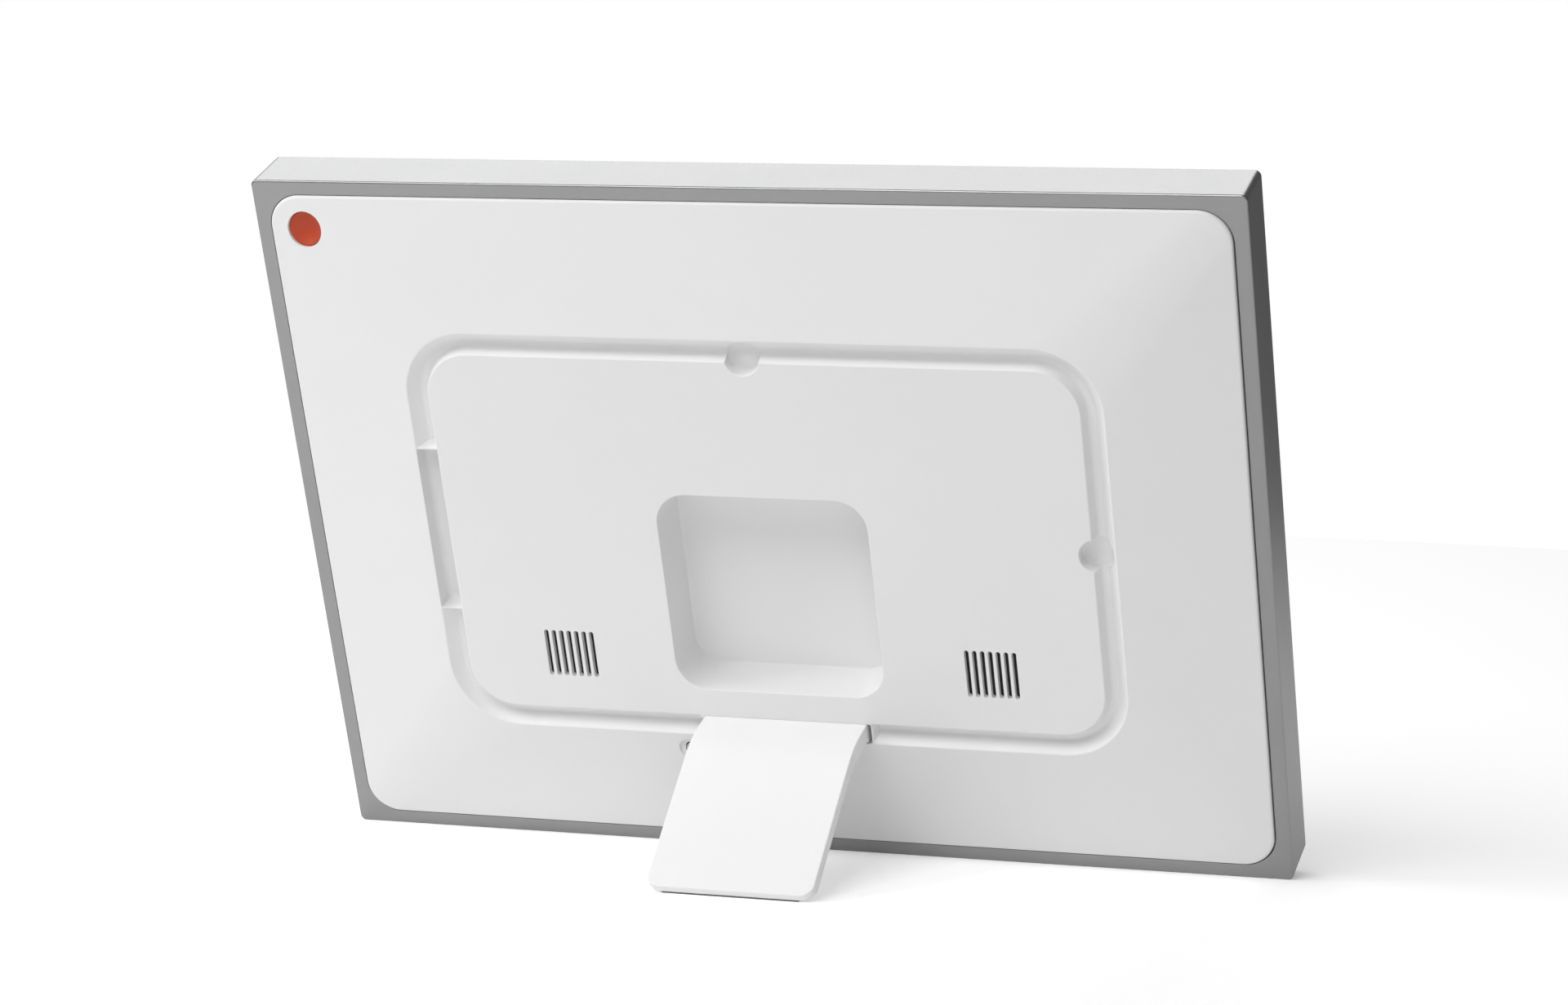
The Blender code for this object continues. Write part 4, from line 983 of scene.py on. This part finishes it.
# ------------------------------------------------------------------ stand
def stand_section():
    """Side view (y, z) of the leg: its corners with their radii, and the blade's direction."""
    along = Vector((cos(STAND_ANGLE), -sin(STAND_ANGLE)))
    inward = Vector((-sin(STAND_ANGLE), -cos(STAND_ANGLE)))
    down = Vector((sin(LEAN), -cos(LEAN)))
    bend = Vector((STAND_BEND_Y, NECK_TOP))
    clear = PAD_T + APART + EDGE * sin(LEAN)
    rise = -(bend + TOE_END_H * inward).dot(down) - clear
    toe = bend + along * (rise / sin(STAND_ANGLE + LEAN))
    end = toe + TOE_END_H * inward
    facet = (STAND_T - TOE_END_H) / sin(STAND_ANGLE + LEAN)
    heel = end - facet * Vector((cos(LEAN), sin(LEAN)))
    neck_low = NECK_TOP - NECK_T
    slot_low = NECK_TOP - NECK_SLOT_T
    corner_y = STAND_BEND_Y + (NECK_T - STAND_T / cos(STAND_ANGLE)) / tan(STAND_ANGLE)
    inside_y = SLOT_FLOOR_Y + GAP
    corners = (
        (inside_y, NECK_TOP, 0.0004),
        (*bend, STAND_BEND_R),
        (*toe, 0.00035),
        (*end, 0.0002),
        (*heel, 0.0004),
        (corner_y, neck_low, 0.0250),
        (PLATEAU_Y + 0.0015, neck_low, 0.0006),
        (PLATEAU_Y - 0.0005, slot_low, 0.0006),
        (inside_y, slot_low, 0.0004),
    )
    return corners, along


def shrunk(corners, by):
    """The section's corners moved inwards by a distance, with their radii to match."""
    spots = [Vector(corner[:2]) for corner in corners]
    result = []
    for i, (u, v, radius) in enumerate(corners):
        before = (spots[i] - spots[i - 1]).normalized()
        after = (spots[(i + 1) % len(spots)] - spots[i]).normalized()
        inward = Vector((before.y, -before.x)), Vector((after.y, -after.x))
        move = (inward[0] + inward[1]) * (by / (1 + inward[0].dot(inward[1])))
        hollow = before.cross(after) > 0
        result.append((u + move.x, v + move.y, max(radius + (by if hollow else -by), LEAST_R)))
    return result


def build_stand():
    """Sections side by side across the leg. Near its sides the toe draws back, which rounds its
    corners, and the section shrinks, which rounds its edges. A station is the place of a section
    across the leg and how much it shrinks."""
    corners, along = stand_section()
    toe_corners = (2, 3, 4)
    toe_start = STAND_HALF_W - TOE_R
    toe_run = TOE_R - STAND_SIDE_R
    stations = [(toe_start + toe_run * sin(pi / 2 * step / 12), 0.0) for step in range(12)]
    for step in range(6):
        angle = pi / 2 * step / 5
        stations.append((STAND_HALF_W - STAND_SIDE_R * (1 - sin(angle)),
                         STAND_SIDE_R * (1 - cos(angle))))
    rows = []
    for x, by in [(-x, by) for x, by in reversed(stations)] + stations:
        into = max(abs(x) - toe_start, 0.0)
        back = TOE_R - sqrt(max(TOE_R ** 2 - into ** 2, 0.0))
        moved = []
        for number, (y, z, radius) in enumerate(corners):
            shift = -back * along if number in toe_corners else Vector((0, 0))
            moved.append((y + shift.x, z + shift.y, radius))
        rows.append([(x, y, z) for y, z in rounded(shrunk(moved, by), closed=True, steps=8)])
    leg = lofted("plug_in_stand", rows)
    settle(leg)
    # The stand wears the lighter copy of the white plastic: painted light on its upward-facing
    # face.
    wear(leg, STAND_WHITE_PAINTED_LIGHTER, "stand", "white_plastic", "stand_leg")


# ------------------------------------------------------------------ studio
CAMERA_AT = Vector((-0.3956, 1.0487, 0.6516))
CAMERA_LOOK = Vector((0.3149, -0.9418, -0.1174))
CAMERA_LENS = 100.27

FLOOR_RINGS = (0.10, 0.25, 0.45, 0.65, 0.78, 0.80)
FLOOR_STEPS = 96
WHITE = (1.0, 1.0, 1.0, 1.0)

# Each softbox faces LIGHTS_AIM from LIGHTS_REACH away. It has an azimuth from +x towards +y and a
# height over the table in degrees, a width and a height in metres, and a power in watts.
LIGHTS_AIM = Vector((0.0, 0.0, 0.08))
LIGHTS_REACH = 1.60
SOFTBOXES = {
    "key": (25.0, 36.0, 0.6, 0.6, 9.2),
    "above_camera": (75.0, 45.0, 1.0, 0.8, 13.0),
    "low_card": (110.0, 2.0, 0.8, 0.24, 2.0),
    "behind": (-70.0, 48.0, 1.3, 0.9, 9.1),
    "far_corner": (-45.0, 30.0, 0.8, 0.6, 0.6),
}
AMBIENT = 0.155         # the surround's light on the object
SURROUND = 1.0          # the surround as the camera sees it
FLOOR_LIGHT = 0.12      # the floor's glow on the object, as of a lit table
FLOOR_GLOW = 0.30       # the floor's glow as the camera sees it


def build_floor():
    """A round table top of white paper."""
    bm = bmesh.new()
    angles = [2 * pi * i / FLOOR_STEPS for i in range(FLOOR_STEPS)]
    rings = [[bm.verts.new((radius * cos(a), radius * sin(a), 0.0)) for a in angles]
             for radius in FLOOR_RINGS]
    bm.faces.new(rings[0])
    for low, high in zip(rings, rings[1:]):
        for i in range(FLOOR_STEPS):
            j = (i + 1) % FLOOR_STEPS
            bm.faces.new((low[i], low[j], high[j], high[i]))
    mesh = mesh_from(bm, "table_top")
    floor = bpy.data.objects.new("table_top", mesh)
    bpy.context.scene.collection.objects.link(floor)
    finish = Finish("table_paper_finish", (0.90, 0.90, 0.90), 0.85)
    finish.colours(finish.noise(0.20, 2.0), (0.895, 0.895, 0.895))
    finish.roughness(finish.noise(0.002), 0.80, 0.90)
    path = finish.tree.nodes.new("ShaderNodeLightPath")
    glow = finish.spread(path.outputs["Is Camera Ray"], FLOOR_LIGHT, FLOOR_GLOW, 0.0, 1.0)
    finish.tree.links.new(glow, finish.shader.inputs["Emission Strength"])
    finish.set("Emission Color", WHITE)
    mesh.materials.append(finish.material)


def build_lights():
    """Softboxes that light the object and don't show themselves."""
    for name, (azimuth, height, width, tall, power) in SOFTBOXES.items():
        turn = Matrix.Rotation(radians(azimuth), 3, "Z") @ Matrix.Rotation(radians(-height), 3, "Y")
        away = turn @ Vector((1.0, 0.0, 0.0))
        light = bpy.data.lights.new(name, "AREA")
        light.shape = "RECTANGLE"
        light.size = width
        light.size_y = tall
        light.energy = power
        box = bpy.data.objects.new(name, light)
        bpy.context.scene.collection.objects.link(box)
        box.location = LIGHTS_AIM + LIGHTS_REACH * away
        box.rotation_euler = away.to_track_quat("Z", "Y").to_euler()
        box.visible_camera = False


def build_world():
    """A white surround for the camera. What lights the object is a dim one."""
    world = bpy.data.worlds.new("studio")
    bpy.context.scene.world = world
    world.use_nodes = True
    tree = world.node_tree
    tree.nodes.clear()
    output = tree.nodes.new("ShaderNodeOutputWorld")
    path = tree.nodes.new("ShaderNodeLightPath")
    mix = tree.nodes.new("ShaderNodeMixShader")
    tree.links.new(path.outputs["Is Camera Ray"], mix.inputs["Fac"])
    for number, strength in enumerate((AMBIENT, SURROUND), 1):
        light = tree.nodes.new("ShaderNodeBackground")
        light.inputs["Color"].default_value = WHITE
        light.inputs["Strength"].default_value = strength
        tree.links.new(light.outputs["Background"], mix.inputs[number])
    tree.links.new(mix.outputs["Shader"], output.inputs["Surface"])


def build_camera():
    """The photograph's camera, from the perspective fit to its straight edges."""
    data = bpy.data.cameras.new("camera")
    data.lens = CAMERA_LENS
    data.sensor_width = 36.0
    data.clip_start = 0.01
    camera = bpy.data.objects.new("camera", data)
    bpy.context.scene.collection.objects.link(camera)
    camera.location = PANEL @ CAMERA_AT
    camera.rotation_euler = CAMERA_LOOK.to_track_quat("-Z", "Y").to_euler()
    bpy.context.scene.camera = camera


finish_cad_nodes()
build_outer_frame()
build_rear_cover()
build_button()
build_mat()
build_stand()
build_floor()
build_lights()
build_world()
build_camera()
bpy.context.scene.view_settings.view_transform = "Standard"
